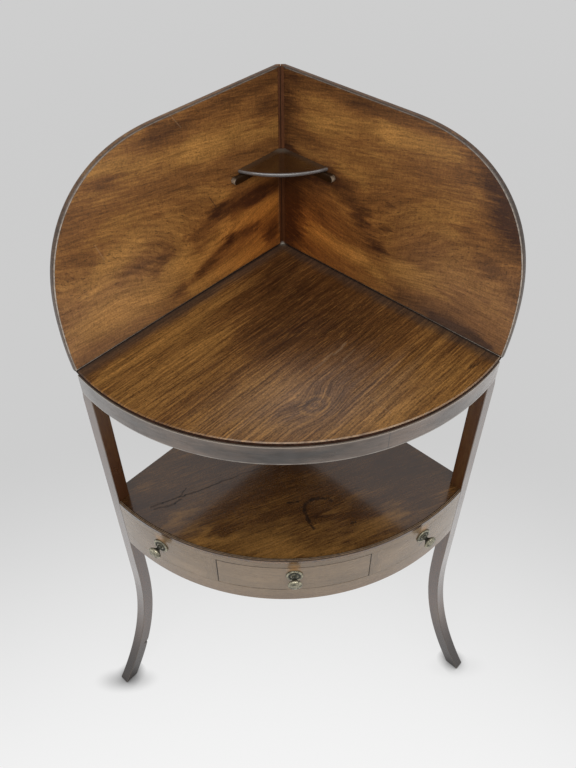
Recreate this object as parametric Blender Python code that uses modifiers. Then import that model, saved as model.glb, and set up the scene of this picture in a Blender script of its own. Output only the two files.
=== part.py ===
"""Bow-fronted corner washstand in mahogany.

Two splash panels stand on the top board and meet at the room's corner, with a small quarter-round
shelf between them. A bowed frieze and two back rails carry the top on three legs. The two front legs
run straight past a lower tier and then sweep out as sabre legs. The tier's bowed frieze is two rails
with one real drawer, two stiles and two dummy drawer fronts between them, and three brass knobs.

Metres, +Z up. The origin is the middle of the back leg's foot, on the floor. The front faces -Y.
Plan places are given from the inner corner of the splash panels: "along" runs down a wall from that
corner, and "out" goes square through the wall, away from the room. Side -1 is left and +1 is right.
"""
import math

import bmesh
import bpy
from mathutils import Matrix, Vector

# Fits
GAP = 0.0003            # between pieces that touch
FIT = 0.0008            # round the drawer front in its opening
OVERRUN = 0.010         # how far a cutter reaches past what it cuts

# Whole stand
WALL_RUN = 0.420        # inner corner to the end of the bow, down either wall
TOP_REACH = 0.4427      # inner corner to the front of the bow at the top
TIER_REACH = 0.4362     # the same at the lower tier
TOP_HEIGHT = 0.8245     # floor to the top surface
TIER_DROP = 0.2825      # top surface down to the tier's surface
ARRIS = 0.0008          # small rounding on wooden edges
EDGE = 0.0004           # the same where two faces meet flush

# Top board and the frame under it
TOP_THICK = 0.0075
TOP_SETBACK = 0.0010    # the board's edge lies this far behind the frieze
TOP_ROUND = 0.0018      # rounding of the board's edge
FRIEZE_HEIGHT = 0.034
FRIEZE_THICK = 0.014
BACK_RAIL_THICK = 0.014

# Splash panels
SPLASH_RISE = 0.2952    # top surface up to the panels' level edge
PANEL_THICK = 0.008
PANEL_LEVEL = 0.220     # level run of the edge before the shoulder
PANEL_BELLY = 0.425     # widest reach along the wall
PANEL_BELLY_RISE = 0.0693
PANEL_FOOT = 0.421      # reach along the wall at the bottom
SHOULDER_POWER = 2.47   # 2 is an ellipse, more is squarer
PANEL_ROUND = 0.0014
PANEL_REBATE = 0.0010   # depth of the rebate in the top board that the panels stand in
CORNER_FLAT = 0.018     # width of the flat cut across the outer corner
FILLET = 0.0065         # legs of the three-cornered fillet in the corner

# Small corner shelf
SHELF_RISE = 0.172      # top surface up to the shelf's surface
SHELF_RUN = 0.0925      # inner corner to the shelf's end, down either wall
SHELF_REACH = 0.0805    # inner corner to the middle of its front
SHELF_THICK = 0.0065
SHELF_NOSE = 0.0028     # rounding of the shelf's front edge
BEARER_PROUD = 0.0155   # how far a bearer runs past the shelf
BEARER_HEIGHT = 0.0105
BEARER_THICK = 0.008

# Legs
LEG_WIDTH = 0.0225      # through the wall
LEG_DEPTH = 0.0220      # along the wall
LEG_PROUD = 0.0015      # leg front past the end of the bow
LEG_TAPER = 0.0035      # how much narrower the foot is than the post
SWEEP_RISE = 0.3245     # floor to where the sabre curve starts
SWEEP_REACH = 0.0910    # how far the foot is swept out
SWEEP_POWER = 2.5
BACK_LEG = 0.028        # side of the square back leg

# Lower tier
TIER_THICK = 0.009
TIER_FRIEZE_HEIGHT = 0.1072
TIER_FRIEZE_THICK = 0.016
BEAD_HEIGHT = 0.003
BEAD_DEPTH = 0.004
BEAD_PROUD = 0.0006
STILE_WIDTH = 0.020     # upright of cross-grained wood at each side of the drawer

# Drawer
OPENING_WIDTH = 0.2452
OPENING_HEIGHT = 0.0653
OPENING_DROP = 0.0208   # tier surface down to the top of the opening
DRAWER_FRONT_THICK = 0.015
DRAWER_SIDE_THICK = 0.008
DRAWER_BACK_THICK = 0.008
DRAWER_BOTTOM_THICK = 0.005
BOTTOM_LIFT = 0.006     # lower edge of a side up to the bottom board
BOTTOM_TONGUE = 0.003   # how far the bottom board enters its groove
SIDE_DROP = 0.003       # top of the front down to the top of a side
BACK_DROP = 0.003       # top of a side down to the top of the back
TAIL_LENGTH = 0.0095    # lapped dovetails into the front
TAIL_CENTRE_SHARES = (0.29, 0.74)
TAIL_NECK_SHARE = 0.22  # height of a tail at its root, of the side's height
TAIL_TIP_SHARE = 0.31   # and at its tip

# What the drawer runs on
RUNNER_WIDTH = 0.026
RUNNER_HEIGHT = 0.018
GUIDE_WIDTH = 0.010
GUIDE_HEIGHT = 0.014
KICKER_WIDTH = 0.014
STOP_DEPTH = 0.008
STOP_HEIGHT = 0.012

# Brass knobs
KNOB_HEIGHT_SHARE = 0.34   # of the opening's height, from its top
KNOB_PLACE_SHARE = 0.533   # from the opening's edge to the leg
PLATE_RADIUS = 0.0136
PLATE_THICK = 0.0026
KNOB_RADIUS = 0.0113
KNOB_REACH = 0.0212
NECK_RADIUS = 0.0036
SHANK_RADIUS = 0.0020
NUT_SIDE = 0.009
NUT_THICK = 0.004

# Screws under the splash panels, and glue blocks behind the frieze
SCREW_RADIUS = 0.0016
SCREW_HEAD_RADIUS = 0.0032
SCREW_LENGTH = 0.024
SCREW_PLACE_SHARES = (0.22, 0.80)
BLOCK_SIDE = 0.013
BLOCK_LENGTH = 0.042
BLOCK_PLACE_SHARES = (-0.5, 0.0, 0.5)

# Counts
BOW_STEPS = 40
FRONT_STEPS = 20
DUMMY_STEPS = 12
STILE_STEPS = 3
SHELF_STEPS = 20
SHOULDER_STEPS = 18
SWEEP_STEPS = 18
TURN_STEPS = 24
MERGE_SHARE = 0.03      # of GAP, the distance at which points are welded
COPLANAR_ANGLE = math.radians(0.05)
SHARP_ANGLE = math.radians(30)

# Worked out from the sizes above
HALF_ROOT = math.sqrt(0.5)
CORNER_Y = BACK_LEG * HALF_ROOT
MERGE = GAP * MERGE_SHARE
TOP_UNDER = TOP_HEIGHT - TOP_THICK
PANEL_SEAT = TOP_HEIGHT - PANEL_REBATE
FRIEZE_TOP = TOP_UNDER - GAP
FRIEZE_BOTTOM = FRIEZE_TOP - FRIEZE_HEIGHT
LEG_FRONT = WALL_RUN + LEG_PROUD
LEG_BACK = LEG_FRONT - LEG_DEPTH
TIER_TOP = TOP_HEIGHT - TIER_DROP
TIER_UNDER = TIER_TOP - TIER_THICK
TIER_FRIEZE_TOP = TIER_UNDER - GAP
TIER_FRIEZE_BOTTOM = TIER_FRIEZE_TOP - TIER_FRIEZE_HEIGHT
OPENING_TOP = TIER_TOP - OPENING_DROP
OPENING_BOTTOM = OPENING_TOP - OPENING_HEIGHT
OPENING_HALF = OPENING_WIDTH / 2
KNOB_HEIGHT = OPENING_TOP - KNOB_HEIGHT_SHARE * OPENING_HEIGHT
SIDE_OUTER = OPENING_HALF - FIT
SIDE_INNER = SIDE_OUTER - DRAWER_SIDE_THICK
SIDE_BOTTOM = OPENING_BOTTOM + GAP
SIDE_TOP = OPENING_TOP - FIT - SIDE_DROP
BOTTOM_LOW = SIDE_BOTTOM + BOTTOM_LIFT
BOTTOM_HIGH = BOTTOM_LOW + DRAWER_BOTTOM_THICK
SIDES = {"left": -1, "right": 1}


def clear_scene():
    """Remove every object that the file opened with."""
    for item in list(bpy.data.objects):
        bpy.data.objects.remove(item, do_unlink=True)


def new_collection(name):
    """A collection linked to the scene."""
    group = bpy.data.collections.new(name)
    bpy.context.scene.collection.children.link(group)
    return group


def new_material(name, colour, roughness, metallic=0.0):
    """A plain Principled material."""
    material = bpy.data.materials.new(name)
    material.use_nodes = True
    shader = material.node_tree.nodes["Principled BSDF"]
    shader.inputs["Base Color"].default_value = (*colour, 1.0)
    shader.inputs["Roughness"].default_value = roughness
    shader.inputs["Metallic"].default_value = metallic
    return material


def wall_xy(side, along, out):
    """Plan point from the inner corner, along a wall and out through it."""
    return Vector((side * (along + out) * HALF_ROOT, CORNER_Y + (out - along) * HALF_ROOT))


def wall_matrix(side, out):
    """Frame whose X runs along a wall and whose Y is up, at a distance out through the wall."""
    run = Vector((side * HALF_ROOT, -HALF_ROOT, 0))
    up = Vector((0, 0, 1))
    turned = Matrix((run, up, run.cross(up))).transposed().to_4x4()
    return Matrix.Translation((*wall_xy(side, 0, out), 0)) @ turned


def bow_circle(reach, run=WALL_RUN):
    """Plan centre (as Y) and radius of the bow through both wall ends and the front point."""
    half = run * HALF_ROOT
    setback = (reach ** 2 - 2 * half ** 2) / (2 * (reach - half))
    return CORNER_Y - setback, reach - setback


def bow_end(reach, inset, out):
    """Angle from -Y at which the inset bow meets the plane at a distance out through the wall."""
    centre, radius = bow_circle(reach)
    shift = (CORNER_Y - centre) * HALF_ROOT
    along = shift + math.sqrt((radius - inset) ** 2 - (out + shift) ** 2)
    end = wall_xy(1, along, out)
    return math.atan2(end.x, centre - end.y)


def bow_point(reach, inset, angle):
    """Plan point on the inset bow at an angle from -Y."""
    centre, radius = bow_circle(reach)
    return Vector((math.sin(angle), -math.cos(angle))) * (radius - inset) + Vector((0, centre))


def bow_y(reach, inset, x):
    """Y of the inset bow at a distance from the middle."""
    centre, radius = bow_circle(reach)
    return centre - math.sqrt((radius - inset) ** 2 - x ** 2)


def bow_angle(reach, inset, x):
    """Angle of the inset bow at a distance from the middle."""
    return math.asin(x / (bow_circle(reach)[1] - inset))


def bow_arc(reach, inset, angle, steps):
    """Points on the inset bow from minus the angle to plus the angle."""
    turns = [angle * (2 * i / steps - 1) for i in range(steps + 1)]
    return [bow_point(reach, inset, turn) for turn in turns]


def rail_y(out, x):
    """Y of the plane at a distance out through the wall, at a distance from the middle."""
    return CORNER_Y + out / HALF_ROOT - abs(x)


def link(item, group, material=None):
    """Put an object in a collection and give it its material."""
    group.objects.link(item)
    if material is not None:
        item.data.materials.append(material)
    return item


def solid_from_outline(name, outline, thickness, matrix, group, material=None):
    """Fill a closed outline, draw it out to a thickness, and keep it as a welded mesh."""
    curve = bpy.data.curves.new(name, "CURVE")
    curve.dimensions = "2D"
    curve.fill_mode = "BOTH"
    curve.extrude = thickness / 2
    spline = curve.splines.new("POLY")
    spline.points.add(len(outline) - 1)
    for point, place in zip(spline.points, outline):
        point.co = (place[0], place[1], 0, 1)
    spline.use_cyclic_u = True
    guide = bpy.data.objects.new(name, curve)
    guide.matrix_world = matrix
    bpy.context.scene.collection.objects.link(guide)
    bpy.context.view_layer.update()
    graph = bpy.context.evaluated_depsgraph_get()
    mesh = bpy.data.meshes.new_from_object(guide.evaluated_get(graph))
    placed = guide.matrix_world.copy()
    bpy.data.objects.remove(guide, do_unlink=True)
    bpy.data.curves.remove(curve)
    tidy_mesh(mesh)
    mesh.name = name
    item = bpy.data.objects.new(name, mesh)
    item.matrix_world = placed
    return link(item, group, material)


def tidy_mesh(mesh):
    """Weld the caps, merge flat neighbours and point the faces out."""
    work = bmesh.new()
    work.from_mesh(mesh)
    bmesh.ops.remove_doubles(work, verts=work.verts, dist=MERGE)
    bmesh.ops.dissolve_limit(work, angle_limit=COPLANAR_ANGLE, verts=work.verts, edges=work.edges)
    bmesh.ops.recalc_face_normals(work, faces=work.faces)
    work.to_mesh(mesh)
    work.free()


def plan_solid(name, outline, bottom, top, group, material=None):
    """A plan outline drawn up from one height to another."""
    matrix = Matrix.Translation((0, 0, (bottom + top) / 2))
    return solid_from_outline(name, outline, top - bottom, matrix, group, material)


def wall_solid(name, side, outline, inner, outer, group, material=None):
    """An outline of along and up, drawn through the wall from inner to outer."""
    matrix = wall_matrix(side, (inner + outer) / 2)
    return solid_from_outline(name, outline, outer - inner, matrix, group, material)


def box(name, low, high, group, material=None):
    """A square-edged block between two corners."""
    mesh = bpy.data.meshes.new(name)
    work = bmesh.new()
    size = [b - a for a, b in zip(low, high)]
    middle = [(a + b) / 2 for a, b in zip(low, high)]
    bmesh.ops.create_cube(work, size=1, matrix=Matrix.Diagonal((*size, 1)))
    work.to_mesh(mesh)
    work.free()
    item = bpy.data.objects.new(name, mesh)
    item.location = middle
    return link(item, group, material)


def turned(name, profile, closed, place, axis, group, material=None):
    """Turn a profile of (radius, height) round Z, then aim Z down the axis at a place."""
    mesh = bpy.data.meshes.new(name)
    count = len(profile)
    edges = [(i, i + 1) for i in range(count - 1)]
    if closed:
        edges.append((count - 1, 0))
    mesh.from_pydata([(radius, 0, height) for radius, height in profile], edges, [])
    item = bpy.data.objects.new(name, mesh)
    link(item, group, material)
    screw = item.modifiers.new("turn", "SCREW")
    screw.steps = TURN_STEPS
    screw.render_steps = TURN_STEPS
    screw.use_merge_vertices = True
    screw.merge_threshold = MERGE
    screw.use_smooth_shade = True
    item.rotation_mode = "QUATERNION"
    item.rotation_quaternion = Vector(axis).to_track_quat("Z", "Y")
    item.location = place
    return item


def soften(item, width, segments=2):
    """Round every real edge of a piece."""
    bevel = item.modifiers.new("round", "BEVEL")
    bevel.width = width
    bevel.segments = segments
    bevel.limit_method = "ANGLE"
    bevel.angle_limit = SHARP_ANGLE
    return item


def smooth(item):
    """Shade the curved faces smooth and keep the real edges."""
    item.data.shade_smooth()
    item.data.set_sharp_from_angle(angle=SHARP_ANGLE)
    return item


def cut(item, cutter):
    """Take a cutter's shape out of a piece."""
    cutter.hide_render = True
    cutter.display_type = "WIRE"
    take = item.modifiers.new("cut " + cutter.name, "BOOLEAN")
    take.operation = "DIFFERENCE"
    take.solver = "EXACT"
    take.object = cutter
    return item


def bow_ring(reach, outer_inset, inner_inset, out, steps):
    """Closed outline between two insets of a bow, its ends on one plane at each wall."""
    front = bow_arc(reach, outer_inset, bow_end(reach, outer_inset, out), steps)
    back = bow_arc(reach, inner_inset, bow_end(reach, inner_inset, out), steps)
    return front + back[::-1]


def bow_piece(reach, thickness, side, start, stop, steps):
    """Closed outline of a short piece of a bow. Each end is its outer and its inner angle."""
    rows = []
    for inset, first, last in ((0, start[0], stop[0]), (thickness, start[1], stop[1])):
        turns = [first + (last - first) * i / steps for i in range(steps + 1)]
        rows.append([bow_point(reach, inset, side * turn) for turn in turns])
    return rows[0] + rows[1][::-1]


def make_top_board(parts, wood):
    """Solid top: bowed front, straight backs that the splash panels stand on, clipped corner."""
    end = bow_end(TOP_REACH, TOP_SETBACK, PANEL_THICK)
    outline = bow_arc(TOP_REACH, TOP_SETBACK, end, BOW_STEPS)
    back_y = rail_y(PANEL_THICK, CORNER_FLAT / 2)
    outline += [Vector((CORNER_FLAT / 2, back_y)), Vector((-CORNER_FLAT / 2, back_y))]
    board = plan_solid("top_board", outline, TOP_UNDER, TOP_HEIGHT, parts, wood)
    return soften(smooth(board), TOP_ROUND)


def make_top_frame(parts, cutters, wood, rough_wood):
    """Bowed frieze across both leg heads, two back rails and the glue blocks."""
    ring = bow_ring(TOP_REACH, 0, FRIEZE_THICK, 0, BOW_STEPS)
    frieze = plan_solid("top_frieze", ring, FRIEZE_BOTTOM, FRIEZE_TOP, parts, wood)
    soften(smooth(frieze), ARRIS)
    for word, side in SIDES.items():
        outline = rail_outline(FRIEZE_BOTTOM, FRIEZE_TOP)
        name = "top_back_rail_" + word
        soften(wall_solid(name, side, outline, -BACK_RAIL_THICK, 0, parts, rough_wood), ARRIS)
    end = bow_end(TOP_REACH, FRIEZE_THICK, 0)
    for word, share in zip(("left", "middle", "right"), BLOCK_PLACE_SHARES):
        make_glue_block("glue_block_" + word, share * end, parts, rough_wood)
    return bow_notch(cutters)


def rail_outline(bottom, top):
    """Straight rail between the back leg and a front leg, as along and up."""
    start = BACK_LEG + GAP
    end = LEG_BACK - GAP
    return [(start, bottom), (end, bottom), (end, top), (start, top)]


def make_glue_block(name, angle, parts, wood):
    """Three-cornered block in the angle between the frieze and the top board."""
    half = BLOCK_LENGTH / 2
    inner = bow_circle(TOP_REACH)[1] - FRIEZE_THICK - GAP
    flat = math.sqrt(inner ** 2 - half ** 2)
    outline = [(0, 0), (-BLOCK_SIDE, 0), (0, -BLOCK_SIDE)]
    outward = Vector((math.sin(angle), -math.cos(angle), 0))
    up = Vector((0, 0, 1))
    frame = Matrix((outward, up, outward.cross(up))).transposed().to_4x4()
    centre = Vector((0, bow_circle(TOP_REACH)[0], FRIEZE_TOP))
    matrix = Matrix.Translation(centre + outward * flat) @ frame
    return solid_from_outline(name, outline, BLOCK_LENGTH, matrix, parts, wood)


def bow_notch(cutters):
    """What the frieze needs cleared from the leg heads: its own ring, a gap larger."""
    ring = bow_ring(TOP_REACH, -OVERRUN, FRIEZE_THICK + GAP, OVERRUN, BOW_STEPS)
    top = FRIEZE_TOP + OVERRUN
    return plan_solid("frieze_notch", ring, FRIEZE_BOTTOM - GAP, top, cutters)


def panel_outline():
    """Splash panel as along and up: level edge, shoulder, belly and a foot that draws in."""
    start = -(PANEL_THICK + OVERRUN)
    low = PANEL_SEAT + GAP
    high = TOP_HEIGHT + SPLASH_RISE
    belly = TOP_HEIGHT + PANEL_BELLY_RISE
    points = [(start, low)]
    for i in range(SHOULDER_STEPS // 2):
        t = i / (SHOULDER_STEPS // 2)
        draw = (1 - t) ** 2
        points.append((PANEL_BELLY - (PANEL_BELLY - PANEL_FOOT) * draw, low + (belly - low) * t))
    power = 2 / SHOULDER_POWER
    for i in range(SHOULDER_STEPS + 1):
        turn = math.pi / 2 * i / SHOULDER_STEPS
        along = PANEL_LEVEL + (PANEL_BELLY - PANEL_LEVEL) * abs(math.cos(turn)) ** power
        points.append((along, belly + (high - belly) * math.sin(turn) ** power))
    points.append((start, high))
    return points


def rebate_outline():
    """Plan of the rebate: a band along both backs of the board and the fillet's three corners."""
    far = WALL_RUN + OVERRUN
    past = PANEL_THICK + OVERRUN
    edge = FILLET * HALF_ROOT + GAP
    front = rail_y(-GAP, edge)
    return [wall_xy(1, far, -GAP), Vector((edge, front)), Vector((-edge, front)),
            wall_xy(-1, far, -GAP), wall_xy(-1, far, past), Vector((0, rail_y(past, 0))),
            wall_xy(1, far, past)]


def make_splash(parts, cutters, wood, iron):
    """Two mitred panels, the fillet in their corner and the screws that hold them."""
    high = TOP_HEIGHT + SPLASH_RISE
    reach = OVERRUN + PANEL_THICK
    low = TOP_HEIGHT - OVERRUN
    clip_y = rail_y(PANEL_THICK, CORNER_FLAT / 2)
    clip = box("corner_clip", (-reach, clip_y, low), (reach, clip_y + reach, high + OVERRUN), cutters)
    board = parts.objects["top_board"]
    cut(board, plan_solid("panel_rebate", rebate_outline(), PANEL_SEAT, high, cutters))
    for word, side in SIDES.items():
        panel = wall_solid("splash_panel_" + word, side, panel_outline(), 0, PANEL_THICK, parts, wood)
        soften(smooth(panel), PANEL_ROUND)
        inner = side * GAP / 2
        outer = inner - side * 2 * reach
        mitre = box("mitre_" + word, (min(inner, outer), CORNER_Y - reach, low),
                    (max(inner, outer), CORNER_Y + 2 * reach, high + OVERRUN), cutters)
        cut(panel, mitre)
        cut(panel, clip)
        for number, share in enumerate(SCREW_PLACE_SHARES, 1):
            name = "splash_screw_%s_%d" % (word, number)
            hole = make_screw(name, side, share * WALL_RUN, parts, cutters, iron)
            cut(panel, hole)
            cut(board, hole)
    edge = FILLET * HALF_ROOT
    tip = CORNER_Y - GAP / HALF_ROOT
    outline = [(0, tip), (edge, tip - edge), (-edge, tip - edge)]
    top = high - PANEL_ROUND
    plan_solid("corner_fillet", outline, PANEL_SEAT + GAP, top, parts, wood)


def screw_profile(extra):
    """Countersunk screw from its head at zero up to its tip, grown by a clearance."""
    shank = SCREW_RADIUS + extra
    head = SCREW_HEAD_RADIUS + extra
    rise = head - shank
    tip = SCREW_LENGTH + extra
    return [(0, tip), (shank, tip - shank), (shank, rise), (head, 0), (0, 0)]


def make_screw(name, side, along, parts, cutters, iron):
    """Screw up through the top board into a panel, and the hole that it needs."""
    place = (*wall_xy(side, along, PANEL_THICK / 2), TOP_UNDER + GAP)
    turned(name, screw_profile(0), False, place, (0, 0, 1), parts, iron)
    hole_place = (*wall_xy(side, along, PANEL_THICK / 2), TOP_UNDER)
    extra = GAP
    shape = screw_profile(extra)
    head = shape[-2][0]
    shape = shape[:-1] + [(head, -OVERRUN), (0, -OVERRUN)]
    return turned("hole_" + name, shape, False, hole_place, (0, 0, 1), cutters)


def make_corner_shelf(parts, wood):
    """Quarter-round shelf with a rounded nose, on two bearers that run past its ends."""
    surface = TOP_HEIGHT + SHELF_RISE
    under = surface - SHELF_THICK
    centre, radius = bow_circle(SHELF_REACH, SHELF_RUN)
    end = wall_xy(1, SHELF_RUN, -GAP)
    radius = math.hypot(end.x, end.y - centre)
    last = math.atan2(end.x, centre - end.y)
    arc = [last * (2 * i / SHELF_STEPS - 1) for i in range(SHELF_STEPS + 1)]
    outline = [Vector((math.sin(a), -math.cos(a))) * radius + Vector((0, centre)) for a in arc]
    front = CORNER_Y - FILLET * HALF_ROOT - 2 * GAP
    half = CORNER_Y - GAP / HALF_ROOT - front
    outline += [Vector((half, front)), Vector((-half, front))]
    shelf = plan_solid("corner_shelf", outline, under, surface, parts, wood)
    round_nose(shelf, Vector((0, centre)), radius)
    for word, side in SIDES.items():
        bearer = wall_solid("shelf_bearer_" + word, side, bearer_outline(under - GAP),
                            -(BEARER_THICK + GAP), -GAP, parts, wood)
        soften(smooth(bearer), ARRIS)


def round_nose(shelf, centre, radius):
    """Round only the two long edges of the shelf's curved front."""
    work = bmesh.new()
    work.from_mesh(shelf.data)
    chosen = []
    for edge in work.edges:
        ends = [abs((v.co.xy - centre).length - radius) < MERGE for v in edge.verts]
        level = abs(edge.verts[0].co.z - edge.verts[1].co.z) < GAP
        if all(ends) and level:
            chosen.append(edge)
    bmesh.ops.bevel(work, geom=chosen, offset=SHELF_NOSE, segments=4, profile=0.5, affect="EDGES")
    work.to_mesh(shelf.data)
    work.free()
    smooth(shelf)


def bearer_outline(top):
    """Bearer as along and up, with a half-round end."""
    radius = BEARER_HEIGHT / 2
    start = BEARER_THICK + FILLET
    end = SHELF_RUN + BEARER_PROUD - radius
    points = [(start, top), (start, top - BEARER_HEIGHT)]
    for i in range(SHELF_STEPS // 2 + 1):
        turn = math.pi * i / (SHELF_STEPS // 2) - math.pi / 2
        points.append((end + radius * math.cos(turn), top - radius + radius * math.sin(turn)))
    return points


def sweep_offset(height):
    """How far the sabre curve stands out at a height above the floor."""
    if height >= SWEEP_RISE:
        return 0
    return SWEEP_REACH * ((SWEEP_RISE - height) / SWEEP_RISE) ** SWEEP_POWER


def sweep_slope(height):
    """Slope of the sabre curve: distance out for each distance down."""
    share = max(0, (SWEEP_RISE - height) / SWEEP_RISE)
    return SWEEP_POWER * SWEEP_REACH / SWEEP_RISE * share ** (SWEEP_POWER - 1)


def leg_outline():
    """Front leg as along and up: straight post, then an even sabre curve down to the floor."""
    front = [(LEG_FRONT, TOP_UNDER - GAP)]
    back = [(LEG_BACK, TOP_UNDER - GAP)]
    for i in range(SWEEP_STEPS + 1):
        height = SWEEP_RISE * (1 - i / SWEEP_STEPS)
        front.append((LEG_FRONT + sweep_offset(height), height))
        slope = sweep_slope(height)
        run = LEG_DEPTH / math.sqrt(1 + slope ** 2)
        place = (LEG_FRONT + sweep_offset(height) - run, height - run * slope)
        if place[1] > 0:
            back.append(place)
    tail = back[-1]
    slope = sweep_slope(0)
    back.append((tail[0] + tail[1] * slope, 0))
    return front + back[::-1]


def taper_cutter(name, side, cutters):
    """Wedge that takes the taper off a leg's outer face, from the sweep down to the floor."""
    slope = LEG_TAPER / SWEEP_RISE
    tail = OVERRUN * slope
    outline = [(0, SWEEP_RISE), (-(LEG_TAPER + tail), -OVERRUN), (LEG_WIDTH, -OVERRUN),
               (LEG_WIDTH, SWEEP_RISE)]
    out = Vector((side * HALF_ROOT, HALF_ROOT, 0))
    up = Vector((0, 0, 1))
    frame = Matrix((out, up, out.cross(up))).transposed().to_4x4()
    middle = wall_xy(side, LEG_FRONT, 0)
    matrix = Matrix.Translation((*middle, 0)) @ frame
    length = 2 * (SWEEP_REACH + LEG_DEPTH + OVERRUN)
    return solid_from_outline(name, outline, length, matrix, cutters)


def make_legs(parts, cutters, wood, notch):
    """Two sabre legs with their heads cut away behind the frieze, and the square back leg."""
    for word, side in SIDES.items():
        name = "front_leg_" + word
        leg = wall_solid(name, side, leg_outline(), -LEG_WIDTH, 0, parts, wood)
        smooth(leg)
        cut(leg, taper_cutter("taper_" + word, side, cutters))
        soften(leg, ARRIS)
        cut(leg, notch)
    corners = [(0, 0), (BACK_LEG, 0), (BACK_LEG, -BACK_LEG), (0, -BACK_LEG)]
    outline = [wall_xy(1, along, out) for along, out in corners]
    soften(plan_solid("back_leg", outline, 0, TOP_UNDER - GAP, parts, wood), ARRIS)


def make_tier(parts, cutters, wood, rough_wood):
    """Lower board let in round the legs, its bead, the bowed frieze and two back rails."""
    inner = LEG_WIDTH + GAP
    end = bow_end(TIER_REACH, 0, -inner)
    outline = bow_arc(TIER_REACH, 0, end, BOW_STEPS)
    notch = BACK_LEG + GAP
    outline += [wall_xy(1, LEG_BACK - GAP, -inner), wall_xy(1, LEG_BACK - GAP, 0),
                wall_xy(1, notch, 0), wall_xy(1, notch, -notch), wall_xy(-1, notch, 0),
                wall_xy(-1, LEG_BACK - GAP, 0), wall_xy(-1, LEG_BACK - GAP, -inner)]
    board = plan_solid("tier_board", outline, TIER_UNDER, TIER_TOP, parts, wood)
    smooth(board)
    rebate = bow_ring(TIER_REACH, -OVERRUN, BEAD_DEPTH + GAP, OVERRUN, BOW_STEPS)
    bead_low = TIER_TOP - BEAD_HEIGHT
    cut(board, plan_solid("bead_rebate", rebate, bead_low - GAP, TIER_TOP + OVERRUN, cutters))
    ring = bow_ring(TIER_REACH, -BEAD_PROUD, BEAD_DEPTH, -inner, BOW_STEPS)
    bead = plan_solid("tier_bead", ring, bead_low, TIER_TOP, parts, wood)
    soften(smooth(bead), EDGE, 1)
    ring = bow_ring(TIER_REACH, 0, TIER_FRIEZE_THICK, -inner, BOW_STEPS)
    for name, low, high in (("tier_top_rail", OPENING_TOP, TIER_FRIEZE_TOP),
                            ("tier_bottom_rail", TIER_FRIEZE_BOTTOM, OPENING_BOTTOM)):
        soften(smooth(plan_solid(name, ring, low, high, parts, wood)), EDGE, 1)
    for word, side in SIDES.items():
        outline = rail_outline(TIER_FRIEZE_BOTTOM, TIER_FRIEZE_TOP)
        name = "tier_back_rail_" + word
        soften(wall_solid(name, side, outline, -BACK_RAIL_THICK, 0, parts, rough_wood), ARRIS)


def bow_ends(reach, thickness, x):
    """Outer and inner angle at which a plane of constant X crosses a bow."""
    return bow_angle(reach, 0, x), bow_angle(reach, thickness, x)


def make_dummies(parts, wood):
    """A stile beside the drawer opening and a dummy drawer front from it to the leg."""
    low = OPENING_BOTTOM + GAP
    high = OPENING_TOP - GAP
    thick = TIER_FRIEZE_THICK
    stile_end = OPENING_HALF + STILE_WIDTH
    leg = -(LEG_WIDTH + GAP)
    at_leg = (bow_end(TIER_REACH, 0, leg), bow_end(TIER_REACH, thick, leg))
    fronts = {}
    for word, side in SIDES.items():
        inner = bow_ends(TIER_REACH, thick, OPENING_HALF)
        outer = bow_ends(TIER_REACH, thick, stile_end)
        stile = bow_piece(TIER_REACH, thick, side, inner, outer, STILE_STEPS)
        soften(smooth(plan_solid("drawer_stile_" + word, stile, low, high, parts, wood)), EDGE, 1)
        inner = bow_ends(TIER_REACH, thick, stile_end + GAP)
        dummy = bow_piece(TIER_REACH, thick, side, inner, at_leg, DUMMY_STEPS)
        fronts[word] = plan_solid("dummy_front_" + word, dummy, low, high, parts, wood)
        soften(smooth(fronts[word]), EDGE, 1)
    return fronts


def bearer_strip(name, side, inner, outer, bottom, top, parts, wood):
    """Strip from the tier's frieze back to the back rail, its ends cut to both."""
    inset = TIER_FRIEZE_THICK + GAP
    out = -(BACK_RAIL_THICK + GAP)
    outline = [(side * x, bow_y(TIER_REACH, inset, x)) for x in (inner, outer)]
    outline += [(side * x, rail_y(out, x)) for x in (outer, inner)]
    return plan_solid(name, outline, bottom, top, parts, wood)


def drawer_back_y():
    """Rear face of the drawer: a stop and its gaps ahead of the back rails."""
    return rail_y(-(BACK_RAIL_THICK + GAP), SIDE_OUTER) - STOP_DEPTH - 2 * GAP


def make_drawer_ways(parts, wood):
    """Runner, guide, kicker and stop for each side of the drawer."""
    guide_inner = OPENING_HALF
    runner_outer = guide_inner + GUIDE_WIDTH + GAP
    runner_inner = runner_outer - RUNNER_WIDTH
    kicker_bottom = SIDE_TOP + GAP
    for word, side in SIDES.items():
        low = OPENING_BOTTOM - RUNNER_HEIGHT
        bearer_strip("drawer_runner_" + word, side, runner_inner, runner_outer, low,
                     OPENING_BOTTOM, parts, wood)
        low = OPENING_BOTTOM + GAP
        bearer_strip("drawer_guide_" + word, side, guide_inner, guide_inner + GUIDE_WIDTH, low,
                     low + GUIDE_HEIGHT, parts, wood)
        bearer_strip("drawer_kicker_" + word, side, SIDE_OUTER - KICKER_WIDTH, SIDE_OUTER,
                     kicker_bottom, TIER_FRIEZE_TOP, parts, wood)
        start = drawer_back_y() + GAP
        ends = sorted((side * SIDE_INNER, side * SIDE_OUTER))
        box("drawer_stop_" + word, (ends[0], start, low),
            (ends[1], start + STOP_DEPTH, low + STOP_HEIGHT), parts, wood)


def landing_y():
    """Inner face of the drawer front where the sides land square on it."""
    return bow_y(TIER_REACH, DRAWER_FRONT_THICK, SIDE_INNER - GAP)


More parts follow.
